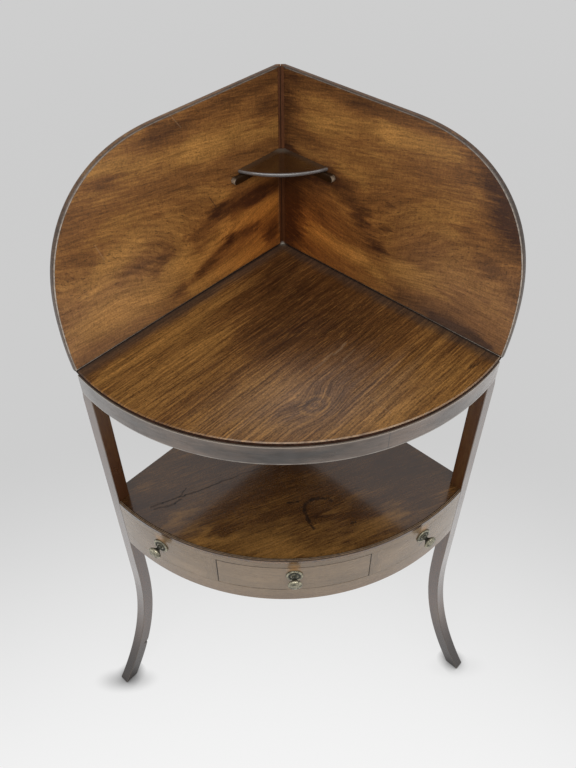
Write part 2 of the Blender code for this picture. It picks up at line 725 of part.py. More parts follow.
def front_outline():
    """Bowed drawer front in plan, with a flat landing at each end for the sides."""
    outer = bow_angle(TIER_REACH, 0, SIDE_OUTER)
    points = bow_arc(TIER_REACH, 0, outer, FRONT_STEPS)
    inner = bow_angle(TIER_REACH, DRAWER_FRONT_THICK, SIDE_INNER - GAP)
    back = bow_arc(TIER_REACH, DRAWER_FRONT_THICK, inner, FRONT_STEPS)[::-1]
    land = landing_y()
    return points + [Vector((SIDE_OUTER, land))] + back + [Vector((-SIDE_OUTER, land))]


def side_outline(grow):
    """Drawer side as depth and height, with dovetails at both ends, grown for a cutter."""
    height = SIDE_TOP - SIDE_BOTTOM
    front = landing_y() + GAP
    rear = drawer_back_y()
    shoulder = rear - DRAWER_BACK_THICK - GAP
    points = [(front, SIDE_BOTTOM)]
    points += [(shoulder, SIDE_BOTTOM)]
    points += tail_points(shoulder, rear + grow, height, grow, TAIL_CENTRE_SHARES)
    points += [(shoulder, SIDE_TOP), (front, SIDE_TOP)]
    points += tail_points(front, front - TAIL_LENGTH - grow, height, grow, TAIL_CENTRE_SHARES[::-1])
    return points


def tail_points(root, tip, height, grow, shares):
    """Corners of a row of dovetails from the root line out to the tip line."""
    neck = height * TAIL_NECK_SHARE / 2 + grow
    wide = height * TAIL_TIP_SHARE / 2 + grow
    down = 1 if shares[0] < shares[-1] else -1
    points = []
    for share in shares:
        centre = SIDE_BOTTOM + share * height
        points += [(root, centre - down * neck), (tip, centre - down * wide),
                   (tip, centre + down * wide), (root, centre + down * neck)]
    return points


def side_solid(name, side, grow, group, material=None):
    """Extrude a drawer side's outline through its thickness."""
    frame = Matrix(((0, 0, 1), (1, 0, 0), (0, 1, 0))).to_4x4()
    middle = side * (SIDE_INNER + SIDE_OUTER) / 2
    thick = DRAWER_SIDE_THICK + 2 * grow
    matrix = Matrix.Translation((middle, 0, 0)) @ frame
    return solid_from_outline(name, side_outline(grow), thick, matrix, group, material)


def make_drawer(parts, cutters, wood, lining):
    """Dovetailed drawer: bowed front, two sides, a back and a bottom let into grooves."""
    front = plan_solid("drawer_front", front_outline(), OPENING_BOTTOM + FIT, OPENING_TOP - FIT,
                       parts, wood)
    smooth(front)
    rear = drawer_back_y()
    back = box("drawer_back", (-SIDE_OUTER, rear - DRAWER_BACK_THICK, BOTTOM_HIGH + GAP),
               (SIDE_OUTER, rear, SIDE_TOP - BACK_DROP), parts, lining)
    made = [front, back]
    for word, side in SIDES.items():
        piece = side_solid("drawer_side_" + word, side, 0, parts, lining)
        socket = side_solid("tail_sockets_" + word, side, GAP, cutters)
        cut(front, socket)
        cut(back, socket)
        made.append(piece)
    bottom = plan_solid("drawer_bottom", bottom_outline(0), BOTTOM_LOW, BOTTOM_HIGH, parts, lining)
    groove = plan_solid("bottom_groove", bottom_outline(GAP), BOTTOM_LOW - GAP, BOTTOM_HIGH + GAP,
                        cutters)
    for piece in made:
        if piece is not back:
            cut(piece, groove)
    made.append(bottom)
    return made


def bottom_outline(grow):
    """Drawer bottom in plan: bowed front edge, tongues at the sides, flush at the back."""
    half = SIDE_INNER + BOTTOM_TONGUE + grow
    inset = DRAWER_FRONT_THICK - BOTTOM_TONGUE - grow
    front = bow_arc(TIER_REACH, inset, bow_angle(TIER_REACH, inset, half), FRONT_STEPS)
    rear = drawer_back_y() + grow * OVERRUN / GAP
    return front + [Vector((half, rear)), Vector((-half, rear))]


def plate_profile():
    """Ringed back plate: rim bead, dished ring and raised boss, round its hole."""
    hole = SHANK_RADIUS + GAP
    wide = PLATE_RADIUS
    thick = PLATE_THICK
    shares = ((0.36, 1.0), (0.46, 0.98), (0.52, 0.55), (0.60, 0.46), (0.70, 0.50), (0.76, 0.78),
              (0.86, 0.84), (0.94, 0.72), (1.0, 0.40), (1.0, 0.0))
    return [(hole, thick)] + [(wide * r, thick * h) for r, h in shares] + [(hole, 0)]


def knob_profile(shank_length):
    """Flared knob from its crown down over the head and neck, then the shank."""
    base = PLATE_THICK + GAP
    body = KNOB_REACH - base
    shares = ((0.0, 1.0), (0.35, 0.985), (0.66, 0.94), (0.90, 0.86), (1.0, 0.76), (0.96, 0.67),
              (0.80, 0.58), (0.58, 0.47))
    points = [(KNOB_RADIUS * r, base + body * h) for r, h in shares]
    neck_shares = ((1.0, 0.32), (0.96, 0.20), (1.18, 0.10), (1.18, 0.0))
    points += [(NECK_RADIUS * r, base + body * h) for r, h in neck_shares]
    points += [(SHANK_RADIUS, base), (SHANK_RADIUS, -shank_length), (0, -shank_length)]
    return points


def make_knob(word, angle, thickness, carrier, parts, cutters, brass):
    """Back plate, knob and square nut on one hole through the front that carries them."""
    point = bow_point(TIER_REACH, 0, angle)
    axis = Vector((math.sin(angle), -math.cos(angle), 0))
    face = Vector((point.x, point.y, KNOB_HEIGHT))
    seat = face + axis * GAP
    plate = turned("knob_plate_" + word, plate_profile(), True, seat, axis, parts, brass)
    inner = thickness + GAP
    shank = inner + NUT_THICK + 2 * GAP
    knob = turned("knob_" + word, knob_profile(shank + GAP), False, seat, axis, parts, brass)
    hole = [(0, OVERRUN), (SHANK_RADIUS + GAP, OVERRUN), (SHANK_RADIUS + GAP, -thickness - OVERRUN),
            (0, -thickness - OVERRUN)]
    bore = turned("knob_bore_" + word, hole, False, face, axis, cutters)
    cut(carrier, bore)
    half = NUT_SIDE / 2
    nut_face = face - axis * (inner + GAP)
    outline = [(-half, -half), (half, -half), (half, half), (-half, half)]
    turn = axis.to_track_quat("Z", "Y").to_matrix().to_4x4()
    matrix = Matrix.Translation(nut_face - axis * NUT_THICK / 2) @ turn
    nut = solid_from_outline("knob_nut_" + word, outline, NUT_THICK, matrix, parts, brass)
    cut(nut, bore)
    return [plate, knob, nut]


def make_knobs(parts, cutters, brass, dummies, front):
    """The drawer's knob and one on each dummy front."""
    edge = bow_angle(TIER_REACH, 0, OPENING_HALF)
    leg = bow_end(TIER_REACH, 0, -LEG_WIDTH)
    place = edge + (leg - edge) * KNOB_PLACE_SHARE
    for word, side in SIDES.items():
        make_knob(word, side * place, TIER_FRIEZE_THICK, dummies[word], parts, cutters, brass)
    return make_knob("drawer", 0, DRAWER_FRONT_THICK, front, parts, cutters, brass)


def hang_on_slide(pieces, parts):
    """Parent the drawer's pieces to an empty on the line that the drawer slides along."""
    slide = bpy.data.objects.new("drawer_slide_line", None)
    slide.location = (0, CORNER_Y - TIER_REACH, SIDE_BOTTOM)
    parts.objects.link(slide)
    bpy.context.view_layer.update()
    for piece in pieces:
        piece.parent = slide
        piece.matrix_parent_inverse = slide.matrix_world.inverted()


def build():
    """Make the whole washstand."""
    clear_scene()
    parts = new_collection("corner_washstand")
    cutters = new_collection("cutters")
    top_wood = new_material("mahogany top", (0.160, 0.068, 0.024), 0.34)
    panel_wood = new_material("mahogany panels", (0.190, 0.080, 0.028), 0.36)
    frieze_wood = new_material("mahogany frieze", (0.130, 0.060, 0.034), 0.32)
    leg_wood = new_material("mahogany legs", (0.085, 0.034, 0.018), 0.32)
    rough_wood = new_material("deal", (0.300, 0.190, 0.100), 0.70)
    lining = new_material("oak lining", (0.330, 0.210, 0.110), 0.62)
    brass = new_material("old brass", (0.220, 0.160, 0.080), 0.42, 1.0)
    iron = new_material("iron", (0.090, 0.085, 0.080), 0.60, 1.0)
    make_top_board(parts, top_wood)
    notch = make_top_frame(parts, cutters, frieze_wood, rough_wood)
    make_splash(parts, cutters, panel_wood, iron)
    make_corner_shelf(parts, panel_wood)
    make_legs(parts, cutters, leg_wood, notch)
    make_tier(parts, cutters, frieze_wood, rough_wood)
    dummies = make_dummies(parts, frieze_wood)
    make_drawer_ways(parts, rough_wood)
    drawer = make_drawer(parts, cutters, frieze_wood, lining)
    drawer += make_knobs(parts, cutters, brass, dummies, drawer[0])
    hang_on_slide(drawer, parts)
    bpy.context.view_layer.update()


build()
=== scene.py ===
"""Looks of the bow-fronted corner washstand: polished mahogany, old brass and a plain studio.

Metres, +Z up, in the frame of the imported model. The front faces -Y. Plan places are given from the
inner corner of the splash panels: "along" runs down a wall and "out" goes square through it. Side -1
is left and +1 is right. The file is laid out as an add-on and is run as a script.
"""
import math

import bmesh
import bpy
import numpy as np
from mathutils import Matrix, Vector


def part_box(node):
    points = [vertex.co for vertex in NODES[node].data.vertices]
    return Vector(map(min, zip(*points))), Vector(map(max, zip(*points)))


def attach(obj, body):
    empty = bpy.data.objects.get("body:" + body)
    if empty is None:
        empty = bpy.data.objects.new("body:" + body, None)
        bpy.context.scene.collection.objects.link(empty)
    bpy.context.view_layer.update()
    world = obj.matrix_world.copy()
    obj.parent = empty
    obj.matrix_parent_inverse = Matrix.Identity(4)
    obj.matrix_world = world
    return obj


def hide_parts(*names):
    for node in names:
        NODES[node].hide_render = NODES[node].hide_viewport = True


bl_info = {
    "name": "Corner Washstand",
    "version": (1, 0, 0),
    "blender": (4, 5, 0),
    "location": "View3D > Sidebar > Washstand",
    "description": "Dresses the corner washstand in mahogany and brass and lights it",
    "category": "Object",
}

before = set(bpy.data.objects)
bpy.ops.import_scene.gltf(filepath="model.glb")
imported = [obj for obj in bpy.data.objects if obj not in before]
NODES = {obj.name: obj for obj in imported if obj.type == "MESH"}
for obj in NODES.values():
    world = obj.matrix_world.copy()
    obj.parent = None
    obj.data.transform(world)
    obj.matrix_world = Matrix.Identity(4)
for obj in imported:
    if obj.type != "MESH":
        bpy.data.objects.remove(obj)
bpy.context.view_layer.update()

# Driving sizes, the same as the construction's
ROOT = math.sqrt(0.5)
BACK_LEG = 0.028
CORNER_Y = BACK_LEG * ROOT  # the back leg is square, and its middle is the origin
GAP = 0.0003
WALL_RUN = 0.420
TOP_REACH = 0.4427
TIER_REACH = 0.4362
TOP_SETBACK = 0.0010
PANEL_THICK = 0.008
PANEL_LEVEL = 0.220
PANEL_BELLY = 0.425
PANEL_BELLY_RISE = 0.0693
PANEL_FOOT = 0.421
PANEL_REBATE = 0.0010
SHOULDER_POWER = 2.47
CORNER_FLAT = 0.018
FILLET = 0.0065
FRIEZE_THICK = 0.014
TIER_FRIEZE_THICK = 0.016
LEG_WIDTH = 0.0225
LEG_DEPTH = 0.0220
LEG_PROUD = 0.0015
LEG_FRONT = WALL_RUN + LEG_PROUD
LEG_TAPER = 0.0035
SWEEP_RISE = 0.3245
SWEEP_REACH = 0.0910
SWEEP_POWER = 2.5
FOOT_ROUND = 0.0032
SHAVED_SLOPE = 0.12         # the post's head is shaved down to the bow of the frieze
KNOCK_HEIGHT = 0.0865       # an old knock on the inner edge of the left leg
KNOCK_REACH = 0.0034
KNOCK_DEPTH = 0.0032
KNOCK_SHARE = 0.3           # of the leg's depth, from its back
KNOCK_CLEAR = 0.6           # of the leg's width, from its outer face
BEAD_HEIGHT = 0.003
BEAD_DEPTH = 0.004
BEAD_PROUD = 0.0006
STILE_WIDTH = 0.020
OPENING_WIDTH = 0.2452
SHELF_RUN = 0.0925
SHELF_REACH = 0.0805
BEARER_THICK = 0.008
BEARER_PROUD = 0.0155
PLATE_RADIUS = 0.0136
PLATE_THICK = 0.0026
KNOB_RADIUS = 0.0113
KNOB_REACH = 0.0212
NECK_RADIUS = 0.0036
SHANK_RADIUS = 0.0020
KNOB_PLACE_SHARE = 0.533
SIDES = {"left": -1, "right": 1}

# Run of the fibres on the plan, in radians from +X
TOP_GRAIN = math.radians(45)
TIER_GRAIN = math.radians(22)

# How finely a bow is divided, from one end to the other
BOW_STEPS = 160
SHELF_STEPS = 80
DUMMY_STEPS = 60
STILE_STEPS = 12

# The photograph's camera, found by fitting the stand's edges to it; angles in radians
IMAGE_HEIGHT = 768
CAMERA_PLACE = (-0.0324, -1.0427, 1.5514)
CAMERA_PITCH = 0.7897
CAMERA_YAW = 0.0343
CAMERA_ROLL = -0.0081
CAMERA_FOCUS = 755.49       # in pixels of the photograph
CAMERA_SHIFT = (0.0025, 0.0046)
SENSOR_HEIGHT = 36.0        # in millimetres


def low(node):
    """Height of a node's underside."""
    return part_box(node)[0].z


def high(node):
    """Height of a node's top."""
    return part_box(node)[1].z


TOP_HEIGHT = high("top_board")
TOP_UNDER = low("top_board")
TIER_TOP = high("tier_board")
TIER_UNDER = low("tier_board")
SPLASH_TOP = high("splash_panel_left")
FRIEZE_LOW = low("top_frieze")
FRIEZE_HIGH = high("top_frieze")
SHELF_TOP = high("corner_shelf")
SHELF_UNDER = low("corner_shelf")
BEARER_TOP = high("shelf_bearer_left")
BEARER_LOW = low("shelf_bearer_left")
LEG_HEAD = high("front_leg_left")
KNOB_HEIGHT = (low("knob_drawer") + high("knob_drawer")) / 2


# Plan geometry of the stand

def wall_xy(side, along, out):
    """Plan point from the inner corner: along a wall and out through it."""
    return side * (along + out) * ROOT, CORNER_Y + (out - along) * ROOT


def bow_circle(reach, run=WALL_RUN):
    """Plan centre (as Y) and radius of the circle through both wall ends and the front point."""
    half = run * ROOT
    setback = (reach ** 2 - 2 * half ** 2) / (2 * (reach - half))
    return CORNER_Y - setback, reach - setback


def bow_along(circle, inset, out):
    """Distance along the wall at which the inset circle crosses the plane at a distance out."""
    centre, radius = circle
    shift = (CORNER_Y - centre) * ROOT
    return shift + np.sqrt((radius - inset) ** 2 - (out + shift) ** 2)


def bow_end(circle, inset, out):
    """Angle from -Y at which the inset circle crosses the plane at a distance out."""
    x, y = wall_xy(1, bow_along(circle, inset, out), out)
    return np.arctan2(x, circle[0] - y)


def on_bow(circle, inset, angle):
    """Plan point of the inset circle at an angle from -Y."""
    reach = circle[1] - inset
    return np.sin(angle) * reach, circle[0] - np.cos(angle) * reach


# Profiles

ROUND_STEPS = 4


def rounded_box(width, height, radius):
    """Closed profile of a box with round corners, as u and v from its middle.

    Each corner is a quarter circle of the radius, and each flat keeps two support points close to its
    ends, so that its shading stays flat. Quarter k is the first one turned by k right angles.
    """
    radius = max(min(radius, width / 2.2, height / 2.2), 1e-5)
    turn = np.linspace(0, math.pi / 2, ROUND_STEPS + 1)
    before = -min(radius, height / 2 - radius) * 0.5
    after = -min(radius, width / 2 - radius) * 0.5
    u = np.concatenate([[radius], radius * np.cos(turn), [after]])
    v = np.concatenate([[before], radius * np.sin(turn), [radius]])
    corners = []
    for quarter in range(4):
        cos, sin = math.cos(quarter * math.pi / 2), math.sin(quarter * math.pi / 2)
        half_u, half_v = (width, height) if quarter % 2 == 0 else (height, width)
        along, across = u + (half_u / 2 - radius), v + (half_v / 2 - radius)
        corners.append((cos * along - sin * across, sin * along + cos * across))
    return np.concatenate(corners, axis=1)


TURNED_STEPS = 5


def smooth_line(points):
    """Catmull-Rom curve through the points of a turned profile, with a few steps between neighbours."""
    points = np.asarray(points, float)
    padded = np.vstack([2 * points[0] - points[1], points, 2 * points[-1] - points[-2]])
    t = (np.arange(TURNED_STEPS) / TURNED_STEPS)[:, None, None]
    a, b, c, d = (padded[i:i + len(points) - 1][None] for i in range(4))
    curve = 0.5 * (2 * b + (c - a) * t + (2 * a - 5 * b + 4 * c - d) * t ** 2
                   + (3 * b - a - 3 * c + d) * t ** 3)
    curve = curve.transpose(1, 0, 2).reshape(-1, points.shape[1])
    return np.vstack([curve, points[-1]])


# Meshes

def skin(name, rings, grain, wear_and_highlight=0.0, sharp=38):
    """Closed surface over a grid of rings.

    rings[i, j] is point j of ring i. Neighbouring rings are joined by quads, each ring closes on
    itself, and the first and last are filled. grain holds, for each point, its place along, across and
    through the wood, and the fourth argument is 1 where an edge is rubbed pale, which on some pieces also
    paints a highlight. Edges over sharp degrees stay sharp.
    """
    rings = np.asarray(rings)
    rows, columns = rings.shape[:2]
    index = np.arange(rows * columns).reshape(rows, columns)
    beside = np.roll(index, -1, axis=1)
    quads = np.stack([index[:-1], beside[:-1], beside[1:], index[1:]], axis=-1).reshape(-1, 4)
    faces = quads.tolist() + [index[0, ::-1].tolist(), index[-1].tolist()]
    points = rings.reshape(-1, 3)
    a, b, c, d = (points[quads[:, k]] for k in range(4))
    middle = points.mean(axis=0)
    volume = np.einsum("ij,ij->", np.cross(b - a, c - a), a - middle)
    volume += np.einsum("ij,ij->", np.cross(c - a, d - a), a - middle)
    for ring, sign in ((rings[0], -1), (rings[-1], 1)):
        centre = ring.mean(axis=0)
        fan = np.cross(ring - centre, np.roll(ring, -1, axis=0) - centre)
        volume += sign * np.einsum("ij,j->", fan, centre - middle)
    if volume < 0:
        faces = [face[::-1] for face in faces]
    mesh = bpy.data.meshes.new(name)
    mesh.from_pydata(points.tolist(), [], faces)
    rubbed = np.broadcast_to(np.asarray(wear_and_highlight, float), (rows, columns))
    for field, kind, values in (("grain", "FLOAT_VECTOR", np.asarray(grain)), ("wear_and_highlight", "FLOAT", rubbed)):
        set_field(mesh, field, kind, values)
    mesh.shade_smooth()
    mesh.set_sharp_from_angle(angle=math.radians(sharp))
    mesh.update()
    return show(name, mesh)


def set_field(mesh, name, kind, values):
    """Give a mesh an attribute with a value at each point."""
    field = mesh.attributes.new(name, kind, "POINT")
    word = "value" if kind == "FLOAT" else "vector"
    field.data.foreach_set(word, np.ascontiguousarray(values, dtype=np.float32).reshape(-1))


def show(name, data):
    """New object of a mesh, a lamp or a camera, in the scene."""
    item = bpy.data.objects.new(name, data)
    bpy.context.scene.collection.objects.link(item)
    return item


def hang(piece, body, slot, material, *nodes):
    """Give a new piece its material and its body, and hide the nodes that it stands for. slot is not used.
    """
    piece.data.materials.append(material)
    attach(piece, body)
    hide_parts(*nodes)


def second_material(piece, material, *stretches):
    """Give some stretches of a piece's faces another material."""
    piece.data.materials.append(material)
    kind = np.zeros(len(piece.data.polygons), dtype=np.int32)
    for stretch in stretches:
        kind[stretch] = 1
    piece.data.polygons.foreach_set("material_index", kind)


def edge_levels(bottom, top, radius, steps=ROUND_STEPS):
    """Rows of inset, height and wear that round the lower and the upper edge of a slab.

    The rows past the radius keep the shading of the flats flat.
    """
    turn = np.linspace(0, math.pi / 2, steps + 1)
    inset = radius * (1 - np.sin(turn))
    rise = radius * (1 - np.cos(turn))
    rubbed = np.cos(turn) ** 2
    near, far = 1.3 * radius, 2.5 * radius
    lower = [(far, bottom, 0.0)] + [(i, bottom + r, 0.2) for i, r in zip(inset, rise)]
    upper = [(i, top - r, w) for i, r, w in zip(inset[::-1], rise[::-1], rubbed[::-1])]
    return lower, upper + [(near, top, 0.0), (far, top, 0.0)]


def slab(outline, levels):
    """Rings and wear of a slab.

    A level is an inset, a height, a wear and whatever else outline takes after the inset. outline
    gives the slab's plan there.
    """
    plans = [outline(inset, *more) for inset, _, _, *more in levels]
    rings = np.array([np.column_stack([plan, np.full(len(plan), level[1])])
                      for plan, level in zip(plans, levels)])
    return rings, np.array([[level[2]] for level in levels])


def bowed_bar(circle, inset, height, start, stop, steps):
    """Carry a closed profile round a bow.

    Point (i, j) has inset[j] and height[j] and stands at start[j] + (stop[j] - start[j]) * t[i]. The
    grain runs round the bow, so its first coordinate is the arc's length.
    """
    t = np.linspace(0, 1, steps + 1)[:, None]
    angle = start[None] + (stop - start)[None] * t
    x, y = on_bow(circle, inset[None], angle)
    rings = np.stack([x, y, np.broadcast_to(height, x.shape)], axis=-1)
    grain = np.stack([angle * circle[1], rings[..., 2], np.broadcast_to(inset, x.shape)], axis=-1)
    return rings, grain


def front_arris(u, v, radius, upper, lower):
    """Wear of a bar's profile: upper and lower on those two corners of its front, and 0 elsewhere."""
    front = u < u.min() + radius
    return upper * (front & (v > v.max() - radius)) + lower * (front & (v < v.min() + radius))


def plan_grain(rings, angle):
    """Grain of a flat board whose fibres run at an angle from +X."""
    cos, sin = math.cos(angle), math.sin(angle)
    x, y, z = rings[..., 0], rings[..., 1], rings[..., 2]
    return np.stack([x * cos + y * sin, y * cos - x * sin, z], axis=-1)


# Shader language

class Socket:
    """A shader socket that Python arithmetic can be written on."""

    def __init__(self, shader, link):
        self.shader = shader
        self.link = link

    def math(self, operation, *values):
        """A Math node of this operation on this socket and the values."""
        inputs = {0: self}
        inputs.update({i + 1: value for i, value in enumerate(values)})
        return self.shader.node("ShaderNodeMath", {"operation": operation}, inputs)

    def __add__(self, other):
        return self.math("ADD", other)

    __radd__ = __add__

    def __sub__(self, other):
        return self.math("SUBTRACT", other)

    def __rsub__(self, other):
        return self.shader.node("ShaderNodeMath", {"operation": "SUBTRACT"}, {0: other, 1: self})

    def __mul__(self, other):
        return self.math("MULTIPLY", other)

    __rmul__ = __mul__

    def __pow__(self, other):
        return self.math("POWER", other)

    def least(self, other):
        """The smaller of the two."""
        return self.math("MINIMUM", other)

    def most(self, other):
        """The larger of the two."""
        return self.math("MAXIMUM", other)

    def size(self):
        """Its distance from zero."""
        return self.math("ABSOLUTE")

    def step(self, start, stop):
        """0 before start and 1 after stop, with a smooth climb between."""
        settings = {"interpolation_type": "SMOOTHSTEP"}
        inputs = {"Value": self, "From Min": start, "From Max": stop, "To Min": 0.0, "To Max": 1.0}
        return self.shader.node("ShaderNodeMapRange", settings, inputs)


class Shader:
    """The nodes of a new material, or of a new world."""

    def __init__(self, name, world=False):
        self.owner = (bpy.data.worlds if world else bpy.data.materials).new(name)
        self.owner.use_nodes = True
        self.tree = self.owner.node_tree
        self.tree.nodes.clear()
        self.out = self.tree.nodes.new("ShaderNodeOutputWorld" if world else "ShaderNodeOutputMaterial")

    def node(self, kind, settings=None, inputs=None, output=0):
        """Any node: its type, its settings, and the values or links of its sockets."""
        made = self.tree.nodes.new(kind)
        for key, value in (settings or {}).items():
            if key == "stops":
                self.stops(made.color_ramp, value)
            else:
                setattr(made, key, value)
        for key, value in (inputs or {}).items():
            target = made.inputs[key]
            if isinstance(value, Socket):
                self.tree.links.new(value.link, target)
            elif value is not None:
                target.default_value = value
        return Socket(self, made.outputs[output])

    def stops(self, ramp, stops):
        """Set a colour ramp's places and colours."""
        while len(ramp.elements) > 1:
            ramp.elements.remove(ramp.elements[-1])
        for number, (place, colour) in enumerate(stops):
            element = ramp.elements[0] if number == 0 else ramp.elements.new(place)
            element.position = place
            element.color = (*colour, 1.0)

    def grain(self):
        """Place in the wood: along, across and through."""
        return self.node("ShaderNodeAttribute", {"attribute_name": "grain"}, output="Vector")

    def wear_and_highlight(self):
        """1 on rubbed edges, and on edges where a highlight is painted."""
        return self.node("ShaderNodeAttribute", {"attribute_name": "wear_and_highlight"}, output="Fac")

    def place(self):
        """Place on the object, in metres."""
        return self.node("ShaderNodeTexCoord", output="Object")

    def plan(self, place):
        """Place on the plan, with the height dropped."""
        x, y, _ = self.parts(place)
        return self.joined(x, y, 0.0)

    def wall(self, place):
        """Place on a splash panel: along its wall and up from the top board."""
        x, y, z = self.parts(place)
        return self.joined((x.size() - y + CORNER_Y) * ROOT, z - TOP_HEIGHT, 0.0)

    def turned(self, vector, scale=(1, 1, 1), shift=(0, 0, 0), turn=(0, 0, 0)):
        """A pattern's own coordinates: the vector turned, stretched and shifted."""
        inputs = {"Vector": vector, "Location": shift, "Rotation": turn, "Scale": scale}
        return self.node("ShaderNodeMapping", None, inputs)

    def noise(self, vector, scale, detail, rough=0.5):
        """Fractal noise about 0.5."""
        inputs = {"Vector": vector, "Scale": scale, "Detail": detail, "Roughness": rough}
        return self.node("ShaderNodeTexNoise", {"noise_dimensions": "3D"}, inputs)

    def vector(self, operation, a, b, output="Vector"):
        """A Vector Math node on two vectors."""
        return self.node("ShaderNodeVectorMath", {"operation": operation}, {0: a, 1: b}, output)

    def scaled(self, vector, factor):
        """A vector times a number."""
        inputs = {0: vector, "Scale": factor}
        return self.node("ShaderNodeVectorMath", {"operation": "SCALE"}, inputs, "Vector")

    def parts(self, vector):
        """The three numbers of a vector."""
        made = self.tree.nodes.new("ShaderNodeSeparateXYZ")
        self.tree.links.new(vector.link, made.inputs[0])
        return [Socket(self, made.outputs[i]) for i in range(3)]

    def joined(self, x, y, z):
        """A vector of three numbers."""
        return self.node("ShaderNodeCombineXYZ", None, {0: x, 1: y, 2: z})

    def mix(self, factor, a, b, blend="MIX"):
        """A mix of two colours."""
        made = self.tree.nodes.new("ShaderNodeMix")
        made.data_type = "RGBA"
        made.blend_type = blend
        for number, value in ((0, factor), (6, a), (7, b)):
            if isinstance(value, Socket):
                self.tree.links.new(value.link, made.inputs[number])
            elif number == 0:
                made.inputs[number].default_value = value
            else:
                made.inputs[number].default_value = (*value, 1.0)
        return Socket(self, made.outputs[2])

    def ramp(self, factor, stops):
        """A colour for each value of a factor."""
        return self.node("ShaderNodeValToRGB", {"stops": stops}, {0: factor}, "Color")

    def spot(self, place, centre, reach, turn=0.0):
        """A soft oval: 1 at its centre and 0 past its reach along and across."""
        local = self.turned(self.vector("SUBTRACT", place, (*centre, 0.0)), turn=(0, 0, -turn))
        local = self.vector("DIVIDE", local, (*reach, 1e3))
        return 1.0 - self.vector("LENGTH", local, (0, 0, 0), "Value").step(0.0, 1.0)

    def line(self, place, start, stop, width, core=0.25):
        """A mark from one place to another: 1 on its core, a share of its width, and 0 past it."""
        run = np.subtract(stop, start)
        near = self.vector("SUBTRACT", place, (*start, 0.0))
        share = self.vector("DOT_PRODUCT", near, (*(run / (run @ run)), 0.0), "Value")
        share = share.most(0.0).least(1.0)
        foot = self.scaled(self.joined(float(run[0]), float(run[1]), 0.0), share)
        gap = self.vector("DISTANCE", near, foot, "Value")
        return 1.0 - gap.step(width * core, width)

    def bump(self, height, distance, strength=1.0, normal=None):
        """A bump of a height in metres, on top of another bump."""
        inputs = {"Height": height, "Distance": distance, "Strength": strength, "Normal": normal}
        return self.node("ShaderNodeBump", None, inputs)

    def ray(self, kind):
        """1 for one kind of ray, such as Camera or Glossy."""
        return self.node("ShaderNodeLightPath", output="Is " + kind + " Ray")

    def finish(self, surface):
        """Link the surface to the output, and give the material or the world."""
        self.tree.links.new(surface.link, self.out.inputs["Surface"])
        return self.owner

    def principled(self, base, roughness, normal=None, metallic=0.0, ior=1.5, coat=0.0):
        """The finished surface, linked to the output."""
        inputs = {"Base Color": base, "Roughness": roughness, "Metallic": metallic, "IOR": ior,
                  "Coat Weight": coat, "Coat Roughness": 0.10, "Coat IOR": 1.5, "Normal": normal}
        return self.finish(self.node("ShaderNodeBsdfPrincipled", None, inputs))


# Settings

def colour_setting(name, description, *colour):
    """A colour that a user would change."""
    return bpy.props.FloatVectorProperty(name=name, description=description, subtype="COLOR",
                                         default=colour, min=0, max=1)


def length_setting(name, description, default, least, most):
    """A small length that a user would change."""
    return bpy.props.FloatProperty(name=name, description=description, unit="LENGTH",
                                   default=default, min=least, max=most)


def level_setting(name, description, default, most=1, **extra):
    """A share, a strength or a power that a user would change."""
    return bpy.props.FloatProperty(name=name, description=description, default=default, min=0,
                                   max=most, **extra)


class WashstandFinish(bpy.types.PropertyGroup):
    """Colours and polish that a user would change."""

    dark: colour_setting("Dark wood", "Deepest mahogany between the streaks", 0.040, 0.014, 0.005)
    red: colour_setting("Red wood", "Main body of the mahogany", 0.120, 0.050, 0.0135)
    gold: colour_setting("Golden wood", "Lightest streaks of the mahogany", 0.300, 0.143, 0.036)
    faded: colour_setting("Faded wood", "Bleached veneer of the lower tier", 0.164, 0.111, 0.064)
    # the worn edge colour also paints the highlight on some rubbed arrises
    worn: colour_setting("Worn edge", "Rubbed arrises", 0.420, 0.320, 0.230)
    brass: colour_setting("Old brass", "Rubbed metal of the knobs", 0.400, 0.365, 0.260)
    patina: colour_setting("Patina", "Dark film in the hollows of the knobs", 0.016, 0.017, 0.013)
    polish: level_setting("Polish", "Weight of the clear polish over the wood", 0.9, subtype="FACTOR")


class WashstandSizes(bpy.types.PropertyGroup):
    """Small sizes of the finish."""

    board_round: length_setting("Board edge", "Rounding of the top board's front edge",
                                0.0018, 0.0003, 0.003)
    panel_round: length_setting("Panel edge", "Rounding of the splash panels' edges",
                                0.0022, 0.0003, 0.0035)
    arris: length_setting("Arris", "Rounding of the other wooden edges", 0.0009, 0.0002, 0.002)
    joint: length_setting("Joint edge", "Rounding of veneered edges that meet", 0.00015, 0.0001, 0.001)
    nose: length_setting("Shelf nose", "Rounding of the corner shelf's front", 0.0030, 0.001, 0.0031)


class WashstandStudio(bpy.types.PropertyGroup):
    """Lights and background."""

    sky: level_setting("Room light", "Strength of the even light from all round", 0.55, 2)
    shine: level_setting("Room in the gloss", "Strength of the room in polish and metal", 0.80, 2)
    key: level_setting("Key light", "Power of the large soft light above the camera", 62.0, 500,
                       unit="POWER")
    low: level_setting("Low lights", "Power of the soft lights near the floor", 2.4, 200, unit="POWER")
    back_grey: level_setting("Back of the floor", "Grey of the background", 0.617, subtype="FACTOR")
    front_grey: level_setting("Front of the floor", "Grey of the floor towards the camera", 0.922,
                              subtype="FACTOR")


# Materials

MADE = {}


def once(name, make):
    """Make a material the first time that it is asked for."""
    if name not in MADE:
        MADE[name] = make(name)
    return MADE[name]


def strokes(sh, flat, rows, spread=1.0, core=0.25):
    """Sum of soft strokes. A row is a start, a stop, a width and how much it lifts or sinks the tone."""
    total = 0.0
    for start, stop, width, amount in rows:
        total = sh.line(flat, start, stop, width * spread, core) * amount + total
    return total


def spots(sh, flat, rows):
    """Sum of soft ovals. A row is a centre, a reach both ways, a turn and an amount."""
    total = 0.0
    for centre, reach, turn, amount in rows:
        total = sh.spot(flat, centre, reach, math.radians(turn)) * amount + total
    return total


